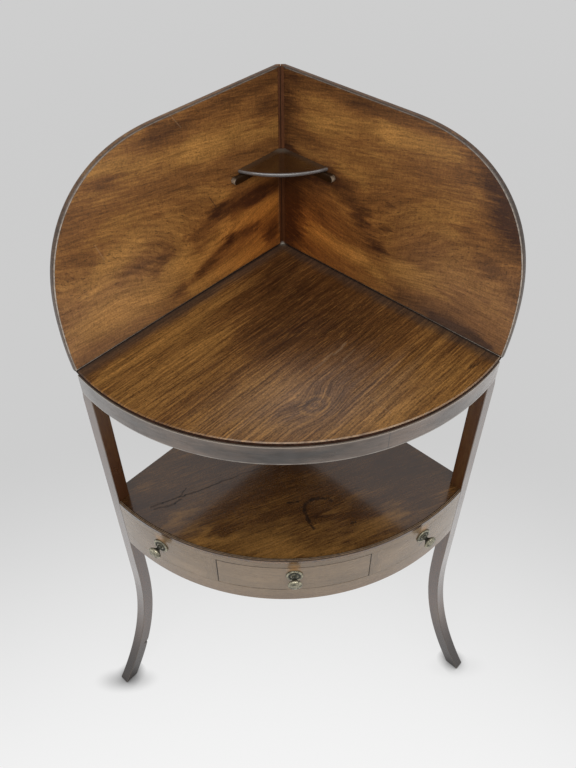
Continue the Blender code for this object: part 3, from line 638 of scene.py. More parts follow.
def ragged(sh, flat, cells, reach, angle=0.0):
    """Places pushed about by noise, so that what is drawn on them has feathered ends.

    The fibres run at the angle. cells and reach each give a count a metre, or a distance, along the
    fibres and across them.
    """
    turned = sh.turned(flat, turn=(0, 0, -angle))
    inputs = {"Vector": sh.turned(turned, (*cells, 1.0)), "Scale": 1.0, "Detail": 4.0, "Roughness": 0.6}
    push = sh.node("ShaderNodeTexNoise", None, inputs, "Color")
    push = sh.vector("MULTIPLY", sh.vector("SUBTRACT", push, (0.5, 0.5, 0.5)), (*reach, 0.0))
    return sh.turned(sh.vector("ADD", turned, push), turn=(0, 0, angle))


# Usual strengths of a wood's layers; wood() says what each is
USUAL = {"bands": 0.4, "flame": 0.4, "streaks": 0.4, "hairs": 0.4, "ripple": 0.1, "broad": 0.4,
         "flecks": 0.05, "pores": 0.5, "run": 1.0, "wobble": 0.0, "lines": 0.0, "crisp": 0.0, "mottle": 0.0}


def wood(name, colours, marks=None, seed=0.0, rough=0.30, polish=0.0, worn=None, wave=0.006,
         uneven=1.0, ior=1.5, **weights):
    """Polished hardwood, as a tone from 0, dark, to 1, pale, that a ramp turns into colour.

    Noise stretched along the grain makes the bands, streaks and hairs. Noise of about equal reach both
    ways makes the flame and the broad patches, and short noise across the grain makes the ripple.
    Flecks and pores are pale and dark dashes laid on the colour, and lines, crisp and mottle multiply
    it by coarse lines, by the streaks once more and by fine noise. weights says how strong each is, and
    run stretches or shortens the fine ones along the grain. The fibres wander by wave and wobble.

    marks(sh, board) adds what one board alone has. It reads the board's place and sets how far its
    fibres move across the grain, its tone, its shine, its colour masks, each with the colour that it
    lays on, dirt and marks and also painted light and shade, and bare, which is 1 where the polish is gone.
    """
    weight = {**USUAL, **weights}
    sh = Shader(name)
    place = sh.place()
    raw = sh.vector("ADD", sh.grain(), (seed, seed * 0.37, 0.0))
    board = {"place": place, "across": 0.0, "tone": 0.0, "stains": [], "shine": 0.0, "bare": None}
    if marks is not None:
        marks(sh, board)
    bend = sh.noise(sh.turned(raw, (3.0, 9.0, 9.0)), 1.0, 2.0) - 0.5
    wobble = sh.noise(sh.turned(raw, (70.0, 160.0, 160.0)), 1.0, 2.0) - 0.5
    shift = bend * (2 * wave) + wobble * weight["wobble"] + board["across"]
    fibre = sh.vector("ADD", raw, sh.joined(0.0, shift, 0.0))

    def layer(along, across, detail, shift=0.0):
        """Noise of this many cells a metre along and across the grain, about 0."""
        vector = sh.turned(fibre, (along, across, across * 0.7), (shift, shift, shift))
        return sh.noise(vector, 1.0, detail, 0.55) - 0.5

    run = weight["run"]
    layers = {"bands": layer(1.6, 24.0, 3.0), "flame": layer(9.0, 30.0, 3.0, 7.0),
              "streaks": layer(22.0 * run, 340.0, 3.0), "hairs": layer(60.0 * run, 950.0, 2.0),
              "ripple": layer(240.0, 50.0, 3.0, 3.0),
              "broad": sh.noise(sh.turned(raw, (5.0, 7.0, 7.0)), 1.0, 3.0) - 0.5}
    tone = board["tone"] + 0.5
    for word, noise in layers.items():
        tone = noise * weight[word] + tone
    dark, body, gold = (np.array(colour) for colour in colours)
    colour = sh.ramp(tone, [(0.10, dark), (0.34, (dark + body) / 2), (0.50, body), (0.72, gold),
                            (0.95, gold * 1.35)])
    flecks = layer(70.0 * run, 620.0, 1.0, 5.0).step(0.10, 0.17) * weight["flecks"]
    colour = sh.mix(flecks, colour, gold * 1.3)
    pores = layer(110.0, 1500.0, 1.0, 11.0).step(0.10, 0.18)
    colour = sh.mix(pores * weight["pores"], colour, dark * 0.6)
    for mask, stain, *blend in board["stains"]:
        colour = sh.mix(mask, colour, stain, *blend)
    if weight["lines"]:
        lines = layer(14.0 * run, 85.0, 3.0, 2.0) * weight["lines"]
        mottle = (sh.noise(place, 400.0, 2.0, 0.6) - 0.5) * weight["mottle"]
        level = lines + layers["streaks"] * weight["crisp"] + mottle + 1.0
        colour = sh.mix(1.0, colour, sh.joined(level, level, level), "MULTIPLY")
    smear = sh.noise(place, 17.0, 3.0, 0.6) - 0.5
    shine = smear * 0.20 + layers["hairs"] * 0.12 + board["shine"] + rough
    # the worn colour on rubbed arrises also paints the highlight on some pieces' arrises
    if worn is not None:
        chips = sh.noise(place, 150.0, 3.0, 0.7)
        rubbed = sh.wear_and_highlight().step(0.35, 1.0) * (chips.step(0.34, 0.62) * 0.55 + 0.45)
        colour = sh.mix(rubbed * 0.85, colour, worn)
    normal = sh.bump(sh.noise(place, 13.0, 2.0), 0.0012 * uneven, 0.35)
    fibres = layers["streaks"] + layers["hairs"] * 0.8 - pores * 0.5
    normal = sh.bump(fibres, 0.00010, 0.45, normal)
    coat = polish if board["bare"] is None else (1.0 - board["bare"]) * polish
    return sh.principled(colour, shine, normal, coat=coat, ior=ior)


def deal(name):
    """Plain dry softwood of the hidden rails, runners and blocks."""
    sh = Shader(name)
    place = sh.place()
    rings = sh.noise(sh.turned(place, (6.0, 6.0, 150.0)), 1.0, 3.0, 0.6)
    stain = sh.noise(place, 11.0, 3.0, 0.6)
    colour = sh.ramp(rings, [(0.3, (0.120, 0.070, 0.034)), (0.7, (0.260, 0.165, 0.085))])
    colour = sh.mix(stain.step(0.42, 0.7) * 0.6, colour, (0.070, 0.045, 0.028))
    normal = sh.bump(rings, 0.0003, 0.6)
    return sh.principled(colour, stain * 0.2 + 0.6, normal)


def oak(name):
    """Pale quartered oak of the drawer's sides, back and bottom, browned with age."""
    sh = Shader(name)
    place = sh.place()
    lines = sh.noise(sh.turned(place, (160.0, 5.0, 160.0)), 1.0, 3.0, 0.65)
    grime = sh.noise(place, 9.0, 3.0, 0.6)
    colour = sh.ramp(lines, [(0.30, (0.130, 0.078, 0.038)), (0.70, (0.300, 0.200, 0.110))])
    colour = sh.mix(grime.step(0.45, 0.75) * 0.5, colour, (0.080, 0.052, 0.030))
    normal = sh.bump(lines, 0.0002, 0.6)
    return sh.principled(colour, grime * 0.2 + 0.5, normal)


def old_brass(name):
    """Brass rubbed on its crests, with a dark olive film elsewhere."""
    finish = bpy.context.scene.washstand_finish
    sh = Shader(name)
    place = sh.place()
    mottle = sh.noise(place, 520.0, 3.0, 0.6)
    patch = sh.noise(place, 170.0, 2.0, 0.6)
    crest = sh.wear_and_highlight()
    speckled = mottle.step(0.40, 0.66) * (crest * 0.45 + 0.12)
    rubbed = (speckled + crest * 0.8 * patch.step(0.30, 0.6)).least(1.0)
    colour = sh.mix(rubbed, tuple(finish.patina), tuple(finish.brass))
    green = sh.noise(place, 300.0, 2.0).step(0.50, 0.64) * 0.5
    colour = sh.mix(green * 0.7, colour, (0.100, 0.102, 0.078))
    normal = sh.bump(mottle, 0.0004, 0.7)
    return sh.principled(colour, 0.60 - rubbed * 0.38, normal, rubbed * 0.80 + 0.04, 1.35)


def iron(name):
    """Dull dark iron of the screws."""
    sh = Shader(name)
    rust = sh.noise(sh.place(), 500.0, 3.0, 0.6)
    colour = sh.ramp(rust, [(0.35, (0.045, 0.042, 0.040)), (0.70, (0.120, 0.062, 0.034))])
    return sh.principled(colour, rust * 0.3 + 0.4, sh.bump(rust, 0.0002, 0.5), metallic=0.8)


# What single boards have: places are in metres, on the plan or on a panel

def top_marks(sh, board):
    """Gold to the left and right, a dark back, a dark band at the panels' feet, a knot's swirl and a painted
    grey reflection over the front.
    """
    flat = sh.plan(board["place"])
    torn = ragged(sh, flat, (7.0, 90.0), (0.16, 0.012), TOP_GRAIN)
    x, y, _ = sh.parts(board["place"])
    knot = (0.029, -0.357)
    away = sh.vector("SUBTRACT", flat, (*knot, 0.0))
    away = sh.turned(sh.turned(away, turn=(0, 0, math.radians(-35))), (1.0, 1.45, 1.0))
    gap = sh.vector("LENGTH", away, (0, 0, 0), "Value")
    near = 1.0 - gap.step(0.006, 0.060)
    board["across"] = near * 0.014
    rings = (gap * 620.0 + sh.noise(flat, 60.0, 2.0) * 5.0).math("SINE")
    tone = rings * (1.0 - gap.step(0.018, 0.032)) * 0.10
    tone = tone + (1.0 - (gap - 0.0225).size().step(0.0008, 0.0032)) * 0.20
    tone = tone + strokes(sh, torn, [
        ((-0.262, -0.296), (-0.060, -0.092), 0.022, 0.20), ((-0.225, -0.330), (-0.110, -0.220), 0.045, 0.15),
        ((-0.130, -0.385), (-0.050, -0.310), 0.040, 0.11), ((0.120, -0.385), (0.235, -0.300), 0.050, 0.14),
        ((-0.080, -0.395), (0.060, -0.405), 0.026, 0.12), ((0.100, -0.330), (0.200, -0.250), 0.040, 0.06)],
        1.5, 0.0)
    tone = tone + spots(sh, torn, [
        ((0.005, -0.125), (0.170, 0.210), 0, -0.24), ((0.090, -0.215), (0.140, 0.090), 30, -0.12),
        ((-0.030, -0.225), (0.080, 0.055), 45, -0.06), ((0.126, -0.382), (0.064, 0.026), 35, 0.24)])
    back = (CORNER_Y - y - x.size()) * ROOT
    frayed = back + (sh.noise(flat, 30.0, 3.0) - 0.5) * 0.02
    board["tone"] = tone
    foot = 1.0 - frayed.step(0.007, 0.027)
    seam = 1.0 - back.step(0.0016, 0.0040)
    dust = sh.spot(flat, (0.0, CORNER_Y - FILLET * ROOT - 0.001), (0.012, 0.008))
    # grey: painted reflection of the pale room, added over the front of the board
    grey = sh.spot(torn, (0.036, -0.344), (0.195, 0.118), math.radians(14))
    scratches = strokes(sh, ragged(sh, flat, (50.0, 50.0), (0.01, 0.01)), [
        ((0.082, -0.236), (0.062, -0.262), 0.0022, 0.30), ((0.060, -0.258), (0.030, -0.292), 0.0026, 0.22),
        ((0.092, -0.250), (0.074, -0.274), 0.0020, 0.24), ((0.100, -0.345), (0.128, -0.375), 0.0013, 0.18)])
    blot = sh.spot(torn, (0.264, -0.283), (0.012, 0.009))
    board["stains"] = [(foot * 0.68, (0.044, 0.029, 0.021)), (grey, (0.032, 0.036, 0.037), "ADD"),
                       (scratches, (0.260, 0.180, 0.110)), (blot * 0.80, (0.014, 0.008, 0.005)),
                       (seam * 0.80, (0.016, 0.011, 0.009)), (dust * 0.60, (0.120, 0.105, 0.080))]
    board["shine"] = foot * 0.10 + near * 0.05


PANEL_STROKES = {
    -1: [((0.010, 0.209), (0.170, 0.235), 0.024, 0.34), ((0.170, 0.235), (0.330, 0.262), 0.020, 0.22),
         ((0.010, 0.286), (0.230, 0.282), 0.020, -0.30), ((0.195, 0.042), (0.124, 0.085), 0.020, 0.34),
         ((0.124, 0.085), (0.008, 0.088), 0.018, 0.32), ((0.270, 0.040), (0.195, 0.044), 0.016, 0.16),
         ((0.235, 0.026), (0.186, 0.038), 0.012, -0.30), ((0.186, 0.038), (0.117, 0.066), 0.014, -0.42),
         ((0.117, 0.066), (0.060, 0.060), 0.014, -0.36), ((0.185, 0.103), (0.137, 0.122), 0.013, -0.26),
         ((0.137, 0.122), (0.012, 0.112), 0.020, -0.44), ((0.200, 0.015), (0.045, 0.019), 0.014, 0.34),
         ((0.262, 0.080), (0.235, 0.106), 0.014, -0.20), ((0.354, 0.118), (0.230, 0.098), 0.008, -0.14)],
    1: [((0.060, 0.231), (0.189, 0.258), 0.022, 0.26), ((0.189, 0.258), (0.296, 0.264), 0.018, 0.26),
        ((0.030, 0.284), (0.270, 0.291), 0.018, -0.30), ((0.314, 0.286), (0.350, 0.258), 0.026, -0.30),
        ((0.350, 0.258), (0.404, 0.190), 0.026, -0.26), ((0.404, 0.190), (0.418, 0.080), 0.016, -0.16),
        # right panel: the two strokes at 0.004 along, down the corner, are painted shade in the corner
        ((0.112, 0.182), (0.161, 0.169), 0.014, 0.20), ((0.004, 0.285), (0.004, 0.180), 0.036, -0.44),
        ((0.004, 0.145), (0.006, 0.030), 0.044, -0.74), ((0.300, 0.008), (0.400, 0.006), 0.010, -0.50),
        # right panel: these two strokes are painted shadow under the corner shelf
        ((0.100, 0.165), (0.158, 0.118), 0.022, -0.30), ((0.158, 0.118), (0.186, 0.084), 0.024, -0.26),
        ((0.064, 0.053), (0.161, 0.047), 0.018, 0.40), ((0.161, 0.047), (0.200, 0.033), 0.014, 0.22),
        ((0.224, 0.067), (0.311, 0.056), 0.022, 0.20), ((0.364, 0.153), (0.405, 0.141), 0.010, 0.16),
        ((0.237, 0.012), (0.372, 0.012), 0.018, -0.34), ((0.334, 0.057), (0.300, 0.059), 0.004, -0.22)],
}
PANEL_SPOTS = {
    -1: [((0.235, 0.270), (0.075, 0.020), 0, -0.20), ((0.322, 0.248), (0.040, 0.018), 20, -0.30),
         ((0.024, 0.034), (0.034, 0.030), 0, -0.46), ((0.205, 0.111), (0.011, 0.007), 0, -0.30),
         ((0.247, 0.167), (0.012, 0.007), 0, -0.20), ((0.390, 0.200), (0.030, 0.060), 0, -0.14),
         ((0.240, 0.180), (0.140, 0.045), 10, 0.08), ((0.330, 0.060), (0.130, 0.060), 0, 0.40),
         ((0.330, 0.130), (0.080, 0.036), -20, 0.52), ((0.220, 0.070), (0.046, 0.028), 0, 0.62),
         ((0.062, 0.114), (0.044, 0.024), 0, -0.62), ((0.028, 0.245), (0.040, 0.044), 0, -0.30),
         ((0.309, 0.224), (0.055, 0.022), 20, 0.13), ((0.125, 0.142), (0.028, 0.016), 0, 0.30)],
    # right panel: the first oval, under the corner shelf, is painted shadow
    1: [((0.050, 0.152), (0.085, 0.036), 0, -0.46), ((0.207, 0.157), (0.012, 0.009), 0, -0.30),
        ((0.205, 0.115), (0.016, 0.011), 0, -0.42), ((0.050, 0.205), (0.050, 0.026), 0, -0.24),
        ((0.150, 0.240), (0.070, 0.032), 10, -0.32), ((0.135, 0.278), (0.070, 0.026), 0, -0.22),
        ((0.308, 0.250), (0.045, 0.030), 0, -0.18), ((0.332, 0.170), (0.036, 0.030), 0, -0.30),
        ((0.378, 0.184), (0.036, 0.036), 0, -0.16), ((0.380, 0.134), (0.044, 0.034), 0, -0.28),
        ((0.190, 0.079), (0.026, 0.014), 0, -0.24), ((0.330, 0.110), (0.110, 0.050), 0, 0.08),
        ((0.060, 0.110), (0.070, 0.050), 0, -0.24), ((0.390, 0.225), (0.070, 0.080), 0, -0.52),
        ((0.300, 0.170), (0.110, 0.060), 0, 0.16)],
}


def panel_marks(side):
    """Marks of one splash panel, on places along the wall and up from the top board.

    The fibres climb outwards near the top and fall outwards near the corner's foot.
    """
    def marks(sh, board):
        flat = sh.wall(board["place"])
        along, up, _ = sh.parts(flat)
        high_up = up.step(0.06, 0.20)
        close = 1.0 - along.step(0.08, 0.34)
        board["across"] = along * (high_up * -0.19 + (1.0 - high_up) * close * 0.28)
        torn = ragged(sh, flat, (20.0, 110.0), (0.070, 0.014))
        marks_tone = strokes(sh, torn, PANEL_STROKES[side], 1.20, 0.05) + spots(sh, torn, PANEL_SPOTS[side])
        board["tone"] = marks_tone * 0.78 + 0.03
        low_down = 1.0 - up.step(0.07, 0.19)
        red = (1.0 - along.step(0.02, 0.25)) * low_down
        bloom = along.step(0.18, 0.34) * low_down
        foot = 1.0 - up.step(0.0005, 0.0035)
        board["stains"] = [(red * 0.80, (1.08, 0.74, 0.42), "MULTIPLY"),
                           (bloom, (0.038, 0.031, 0.026), "ADD"),
                           (foot * 0.85, (0.018, 0.012, 0.009))]
        # edge: grey on the rounded edges, painted reflection of the room
        edge = sh.wear_and_highlight().step(0.05, 0.20)
        board["stains"].append((edge * 0.85, (0.050, 0.042, 0.036)))
        if side < 0:
            # rim: a pale line beside the corner strip, painted highlight
            rim = (1.0 - (along - 0.0075).size().step(0.0004, 0.0018)) * low_down * up.step(0.015, 0.04)
            board["stains"].append((rim * 0.55, (0.190, 0.085, 0.036)))
            nicks = strokes(sh, flat, [((0.204, 0.294), (0.189, 0.272), 0.0011, 0.24),
                                       ((0.349, 0.172), (0.340, 0.145), 0.0011, 0.24)])
            cuts = strokes(sh, flat, [((0.152, 0.154), (0.140, 0.132), 0.0011, 0.70)])
            board["stains"] += [(nicks, (0.360, 0.240, 0.140)), (cuts, (0.030, 0.016, 0.009))]
    return marks


def tier_marks(sh, board):
    """A crack with a fork, a hooked burn, a dash and a pale figured patch at the front."""
    flat = sh.plan(board["place"])
    torn = ragged(sh, flat, (60.0, 60.0), (0.010, 0.010))
    loose = ragged(sh, flat, (10.0, 50.0), (0.16, 0.03), TIER_GRAIN)
    _, y, _ = sh.parts(loose)
    front = 1.0 - y.step(-0.410, -0.280)
    board["tone"] = front * 0.22 - 0.08 + spots(sh, loose, [
        ((-0.037, -0.392), (0.060, 0.030), 0, 0.26), ((-0.190, -0.330), (0.060, 0.025), -30, 0.14),
        ((0.150, -0.350), (0.090, 0.025), 25, 0.12), ((0.110, -0.335), (0.100, 0.012), 8, -0.22),
        ((0.020, -0.330), (0.060, 0.030), 0, -0.14), ((0.160, -0.334), (0.080, 0.030), 20, 0.26),
        ((-0.128, -0.363), (0.060, 0.024), -22, 0.34), ((0.022, -0.401), (0.080, 0.015), 0, 0.22),
        ((0.058, -0.328), (0.022, 0.012), 0, -0.42)])
    crack = strokes(sh, torn, [((-0.228, -0.306), (-0.212, -0.300), 0.0030, 0.6),
                               ((-0.212, -0.300), (-0.175, -0.285), 0.0022, 0.8),
                               ((-0.222, -0.310), (-0.190, -0.303), 0.0026, 0.6),
                               ((-0.190, -0.303), (-0.181, -0.293), 0.0020, 0.8),
                               ((-0.175, -0.285), (-0.100, -0.254), 0.0019, 0.8),
                               ((-0.100, -0.254), (-0.045, -0.231), 0.0014, 0.7),
                               ((-0.174, -0.270), (-0.184, -0.290), 0.0020, 0.7)])
    hook = [(0.066, -0.306), (0.050, -0.300), (0.034, -0.302), (0.022, -0.312), (0.020, -0.323),
            (0.024, -0.342), (0.033, -0.359)]
    burn = strokes(sh, torn, [(a, b, 0.0042, 0.75) for a, b in zip(hook, hook[1:])])
    burn = burn + strokes(sh, torn, [((-0.006, -0.307), (0.010, -0.305), 0.0032, 0.9),
                                     ((0.094, -0.352), (0.100, -0.350), 0.0040, 0.7)])
    blot = sh.spot(torn, (-0.248, -0.325), (0.018, 0.008), math.radians(-35))
    scorched = sh.noise(flat, 130.0, 3.0, 0.7).step(0.34, 0.52)
    board["stains"] = [(crack.least(1.0), (0.010, 0.006, 0.005)),
                       ((burn * scorched).least(0.85), (0.007, 0.004, 0.003)),
                       (blot * 0.7, (0.020, 0.012, 0.008))]
    board["shine"] = front * 0.05 + crack.least(1.0) * 0.4
    board["bare"] = crack.least(1.0)


def top_frieze_marks(sh, board):
    """Dark mottle near the middle, grime along the lower edge, one upright joint in the veneer, and painted
    highlights along the lower and upper arris.
    """
    arc, height, _ = sh.parts(sh.grain())
    flat = sh.joined(arc, height, 0.0)
    torn = ragged(sh, flat, (18.0, 90.0), (0.14, 0.016))
    middle = (FRIEZE_LOW + FRIEZE_HIGH) / 2
    board["tone"] = spots(sh, torn, [((-0.014, middle), (0.060, 0.020), 0, -0.56),
                                     ((0.040, middle), (0.060, 0.020), 0, -0.20),
                                     ((-0.104, middle), (0.060, 0.018), 0, -0.26),
                                     ((0.190, middle), (0.090, 0.030), 0, 0.14),
                                     ((-0.260, middle), (0.080, 0.030), 0, 0.10)])
    joint = strokes(sh, flat, [((0.126, FRIEZE_LOW), (0.1265, FRIEZE_HIGH), 0.0012, 0.75)])
    grime = 1.0 - height.step(FRIEZE_LOW, FRIEZE_LOW + 0.006)
    # foot and head: pale lines along the lower and upper arris, painted highlights
    foot = 1.0 - (height - FRIEZE_LOW - 0.0010).size().step(0.0004, 0.0014)
    foot = foot * (sh.noise(flat, 45.0, 2.0).step(0.30, 0.55) * 0.6 + 0.4)
    head = 1.0 - (FRIEZE_HIGH - height - 0.0008).size().step(0.0004, 0.0014)
    board["stains"] = [(joint, (0.020, 0.013, 0.010)), (grime * 0.45, (0.035, 0.023, 0.017)),
                       ((foot * 0.75 + head * 0.60).least(0.8), (0.260, 0.225, 0.190))]
    middle_dark = 1.0 - (arc + 0.010).size().step(0.05, 0.22)
    smudge = sh.noise(sh.turned(flat, (38.0, 120.0, 1.0)), 1.0, 4.0, 0.65).step(0.46, 0.62)
    board["bare"] = (smudge * 0.34 + middle_dark * 0.34).least(0.7)


def tier_frieze_marks(sh, board):
    """Dark lines round the drawer, a short split at the right, a warmer lower edge and a painted reflection
    above each knob.
    """
    x, y, height = sh.parts(board["place"])
    centre, radius = bow_circle(TIER_REACH)
    flat = sh.joined(x.math("ARCTAN2", centre - y) * radius, height, 0.0)
    torn = ragged(sh, flat, (60.0, 60.0), (0.008, 0.004))
    split = strokes(sh, torn, [((0.222, 0.474), (0.231, 0.482), 0.0018, 0.85)])
    side_arc = math.asin(OPENING_WIDTH / 2 / radius) * radius
    foot, head = low("drawer_front"), high("drawer_front")
    grime = strokes(sh, flat, [((-side_arc, foot), (-side_arc, head), 0.0016, 0.75),
                               ((side_arc, foot), (side_arc, head), 0.0016, 0.65),
                               ((-side_arc, head), (0.0, head), 0.0014, 0.75),
                               ((0.0, head), (side_arc, head), 0.0014, 0.60),
                               ((-side_arc * 0.8, foot), (-0.1 * side_arc, foot), 0.0014, 0.75),
                               ((0.1 * side_arc, foot), (side_arc, foot), 0.0014, 0.40)])
    grime = grime * (sh.noise(flat, 40.0, 2.0).step(0.30, 0.55) * 0.5 + 0.5)
    warm = 1.0 - height.step(low("tier_bottom_rail"), low("tier_bottom_rail") + 0.030)
    # above each knob: painted reflection, the warm wood that shows where the knob hides the room's glare,
    # with less polish there
    knob_reflection = 0.0
    for word in ("left", "drawer", "right"):
        lowest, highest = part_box("knob_plate_" + word)
        arc = math.atan2((lowest.x + highest.x) / 2, centre - (lowest.y + highest.y) / 2) * radius
        knob_reflection = sh.spot(torn, (arc, highest.z + 0.006), (0.015, 0.016)) + knob_reflection
    board["tone"] = spots(sh, torn, [((-0.180, 0.470), (0.060, 0.018), 0, 0.10),
                                     ((0.180, 0.500), (0.060, 0.018), 0, 0.12)])
    board["stains"] = [(warm * 0.25, (0.170, 0.094, 0.055)), (knob_reflection * 0.85, (0.320, 0.180, 0.080)),
                       (split, (0.016, 0.010, 0.008)), (grime.least(0.9), (0.022, 0.013, 0.009))]
    dull = sh.noise(sh.turned(flat, (14.0, 60.0, 1.0)), 1.0, 4.0, 0.65).step(0.48, 0.70)
    board["bare"] = (grime + dull * 0.20 + x.step(0.10, 0.30) * 0.12 + knob_reflection * 0.5).least(1.0)


def leg_marks(sh, board):
    """Darker towards the feet, and knocks on the way down."""
    _, _, z = sh.parts(board["place"])
    # grime: darker towards the feet
    grime = 1.0 - z.step(0.020, 0.200)
    knocks = sh.noise(board["place"], 60.0, 3.0, 0.7).step(0.60, 0.70)
    board["tone"] = (1.0 - z.step(0.30, 0.60)) * -0.06
    dent = sh.spot(sh.plan(board["place"]), (-0.2955, -0.3080), (0.013, 0.013))
    dent = dent * (1.0 - (z - KNOCK_HEIGHT).size().step(0.0012, 0.0052))
    board["stains"] = [(grime * 0.85, (0.016, 0.014, 0.013)), (knocks * 0.35, (0.018, 0.012, 0.009)),
                       (dent * 0.8, (0.008, 0.006, 0.005))]
    board["bare"] = (grime * 0.70 + z.step(0.46, 0.62) * 0.24 + dent).least(1.0)
    board["shine"] = z.step(0.46, 0.62) * 0.06 + dent * 0.5


def shelf_marks(sh, board):
    """Dust in the corner, a paler apex, a painted highlight along the nose and painted shade under it."""
    x, y, z = sh.parts(board["place"])
    back = (CORNER_Y - y - x.size()) * ROOT
    dust = 1.0 - back.step(0.002, 0.016)
    # under: painted shade along the underside of the nose
    under = 1.0 - z.step(SHELF_UNDER + 0.0002, SHELF_UNDER + 0.0012)
    apex = sh.spot(sh.plan(board["place"]), (0.0, 0.010), (0.020, 0.014))
    # nose: painted highlight, a pale grey along the nose, brightest in the middle
    nose = sh.wear_and_highlight().step(0.2, 0.9)
    board["stains"] = [(dust * 0.35, (0.050, 0.040, 0.030)), (apex * 0.6, (0.130, 0.115, 0.090)),
                       (nose * (0.9 - x.size().step(0.005, 0.050) * 0.3), (0.095, 0.088, 0.086)),
                       (under * 0.9, (0.010, 0.007, 0.006))]
    board["shine"] = dust * 0.2


def shades(dark, body, gold):
    """The three wood colours of the settings, each times a factor."""
    finish = bpy.context.scene.washstand_finish
    return np.multiply(finish.dark, dark), np.multiply(finish.red, body), np.multiply(finish.gold, gold)


def tints(colour, dark, gold, body=1.0):
    """Three wood colours that are one colour times three factors."""
    return np.multiply(colour, dark), np.multiply(colour, body), np.multiply(colour, gold)


def worn_colour(factor=1.0):
    """Colour of a rubbed edge."""
    return np.multiply(bpy.context.scene.washstand_finish.worn, factor)


def polished(factor=1.0):
    """Weight of the polish, as a share of the setting."""
    return bpy.context.scene.washstand_finish.polish * factor


def top_wood(name):
    """The top board: fine straight streaks, little figure."""
    return wood(name, shades(0.85, 0.92, 0.72), top_marks, seed=1.7, rough=0.36, worn=worn_colour(),
                wave=0.003, ior=1.4, flame=0.16, streaks=0.60, hairs=0.48, ripple=0.04, broad=0.20,
                flecks=0.34, pores=0.70, run=0.55, wobble=0.0022, lines=0.40, crisp=1.35, mottle=1.50)


def shaded_edge_wood(name):
    """Near-black, unpolished edge and underside of the top board; the near-black is painted shade under the
    board's rounded front edge.
    """
    sh = Shader(name)
    grime = sh.noise(sh.place(), 120.0, 3.0, 0.6)
    colour = sh.ramp(grime, [(0.35, (0.014, 0.006, 0.003)), (0.70, (0.036, 0.016, 0.010))])
    return sh.principled(colour, grime * 0.2 + 0.7, sh.bump(grime, 0.0002, 0.5), ior=1.12)


def panel_wood(side):
    """A splash panel: soft flame, faint ripple across the grain and short dark pores."""
    def build(name):
        return wood(name, shades(1.15, 1.55, 0.98), panel_marks(side), seed=3.1 + side, rough=0.40,
                    worn=(0.520, 0.450, 0.380), wave=0.010, ior=1.4, bands=0.45, flame=0.50,
                    streaks=0.34, hairs=0.28, ripple=0.20, broad=0.35, flecks=0.12, pores=0.60,
                    wobble=0.0020, lines=0.50, crisp=0.95, mottle=1.30)
    return build


def back_wood(name):
    """The panels' backs: dry, browned mahogany that was never polished."""
    return wood(name, shades(1.1, 0.75, 0.45), seed=4.4, rough=0.62, ior=1.3, flame=0.3, streaks=0.5,
                hairs=0.5, ripple=0.05, broad=0.5, flecks=0.2)


def top_frieze_wood(name):
    """Dark veneer under the top board."""
    return wood(name, tints((0.060, 0.040, 0.028), 0.35, 1.8), top_frieze_marks, seed=5.3,
                polish=polished(0.8), worn=worn_colour(0.9), wave=0.004, uneven=1.5, bands=0.5,
                flame=1.1, streaks=0.45, broad=1.1, flecks=0.1)


def tier_frieze_wood(name):
    """Faded veneer of the lower tier."""
    faded = bpy.context.scene.washstand_finish.faded
    return wood(name, tints(faded, 0.45, 1.45), tier_frieze_marks, seed=6.2, rough=0.28,
                polish=polished(0.55), worn=worn_colour(0.9), wave=0.004, uneven=0.8, ior=1.34,
                bands=0.3, flame=0.35, streaks=0.30, hairs=0.45, flecks=0.1)


def bead_marks(sh, board):
    """Dirt in the grooves."""
    groove = 1.0 - sh.wear_and_highlight().step(0.15, 0.75)
    board["stains"] = [(groove * 0.75, (0.045, 0.025, 0.015))]


def bead_wood(name):
    """The bead along the tier: brown, with rubbed crests and dark grooves."""
    faded = bpy.context.scene.washstand_finish.faded
    return wood(name, tints(faded, 0.12, 0.7, 0.28), bead_marks, seed=6.9, rough=0.45,
                worn=(0.270, 0.180, 0.110), wave=0.004, ior=1.25, bands=0.3, flame=0.6, hairs=0.45,
                ripple=0.0, broad=0.6, flecks=0.1)


def shelf_wood(name):
    """Near-black polished mahogany of the corner shelf."""
    return wood(name, shades(0.5, 0.32, 0.30), shelf_marks, seed=7.9, rough=0.22, polish=polished(),
                wave=0.004)


def bearer_wood(name):
    """Dark brown mahogany of the bearers under the corner shelf, without polish."""
    return wood(name, shades(0.35, 0.13, 0.07), seed=7.1, rough=0.32, worn=worn_colour(0.75),
                wave=0.004, ior=1.35)


def fillet_marks(sh, board):
    """A black line down the strip where it has shrunk from one panel, dust at its foot, and painted shade
    below the corner shelf.
    """
    x, _, z = sh.parts(board["place"])
    shrunk = 1.0 - (x + 0.0008).size().step(0.0002, 0.0011)
    # shaded: painted shade below the corner shelf
    shaded = 1.0 - z.step(SHELF_UNDER, SHELF_TOP)
    dust = sh.spot(sh.joined(x, z - TOP_HEIGHT, 0.0), (0.0, -0.001), (0.0055, 0.0085))
    board["stains"] = [(shaded, (0.74, 0.64, 0.50), "MULTIPLY"), (shrunk * 0.80, (0.006, 0.002, 0.001)),
                       (dust, (0.300, 0.280, 0.240))]


def fillet_wood(name):
    """Dull dark strip in the corner."""
    return wood(name, tints((0.068, 0.025, 0.010), 0.4, 1.6), fillet_marks, seed=8.8, rough=0.50,
                wave=0.002, ior=1.18, bands=0.3, flame=0.3, streaks=0.3, hairs=0.3, flecks=0.0)


def tier_wood(name):
    """The lower tier's stained mahogany."""
    return wood(name, shades(0.6, 0.46, 0.42), tier_marks, seed=9.4, rough=0.20, polish=polished(0.8),
                wave=0.012, bands=0.35, flame=0.7, streaks=0.35, ripple=0.15, broad=0.6, flecks=0.10,
                pores=0.4, lines=0.40, crisp=0.85, mottle=1.30)


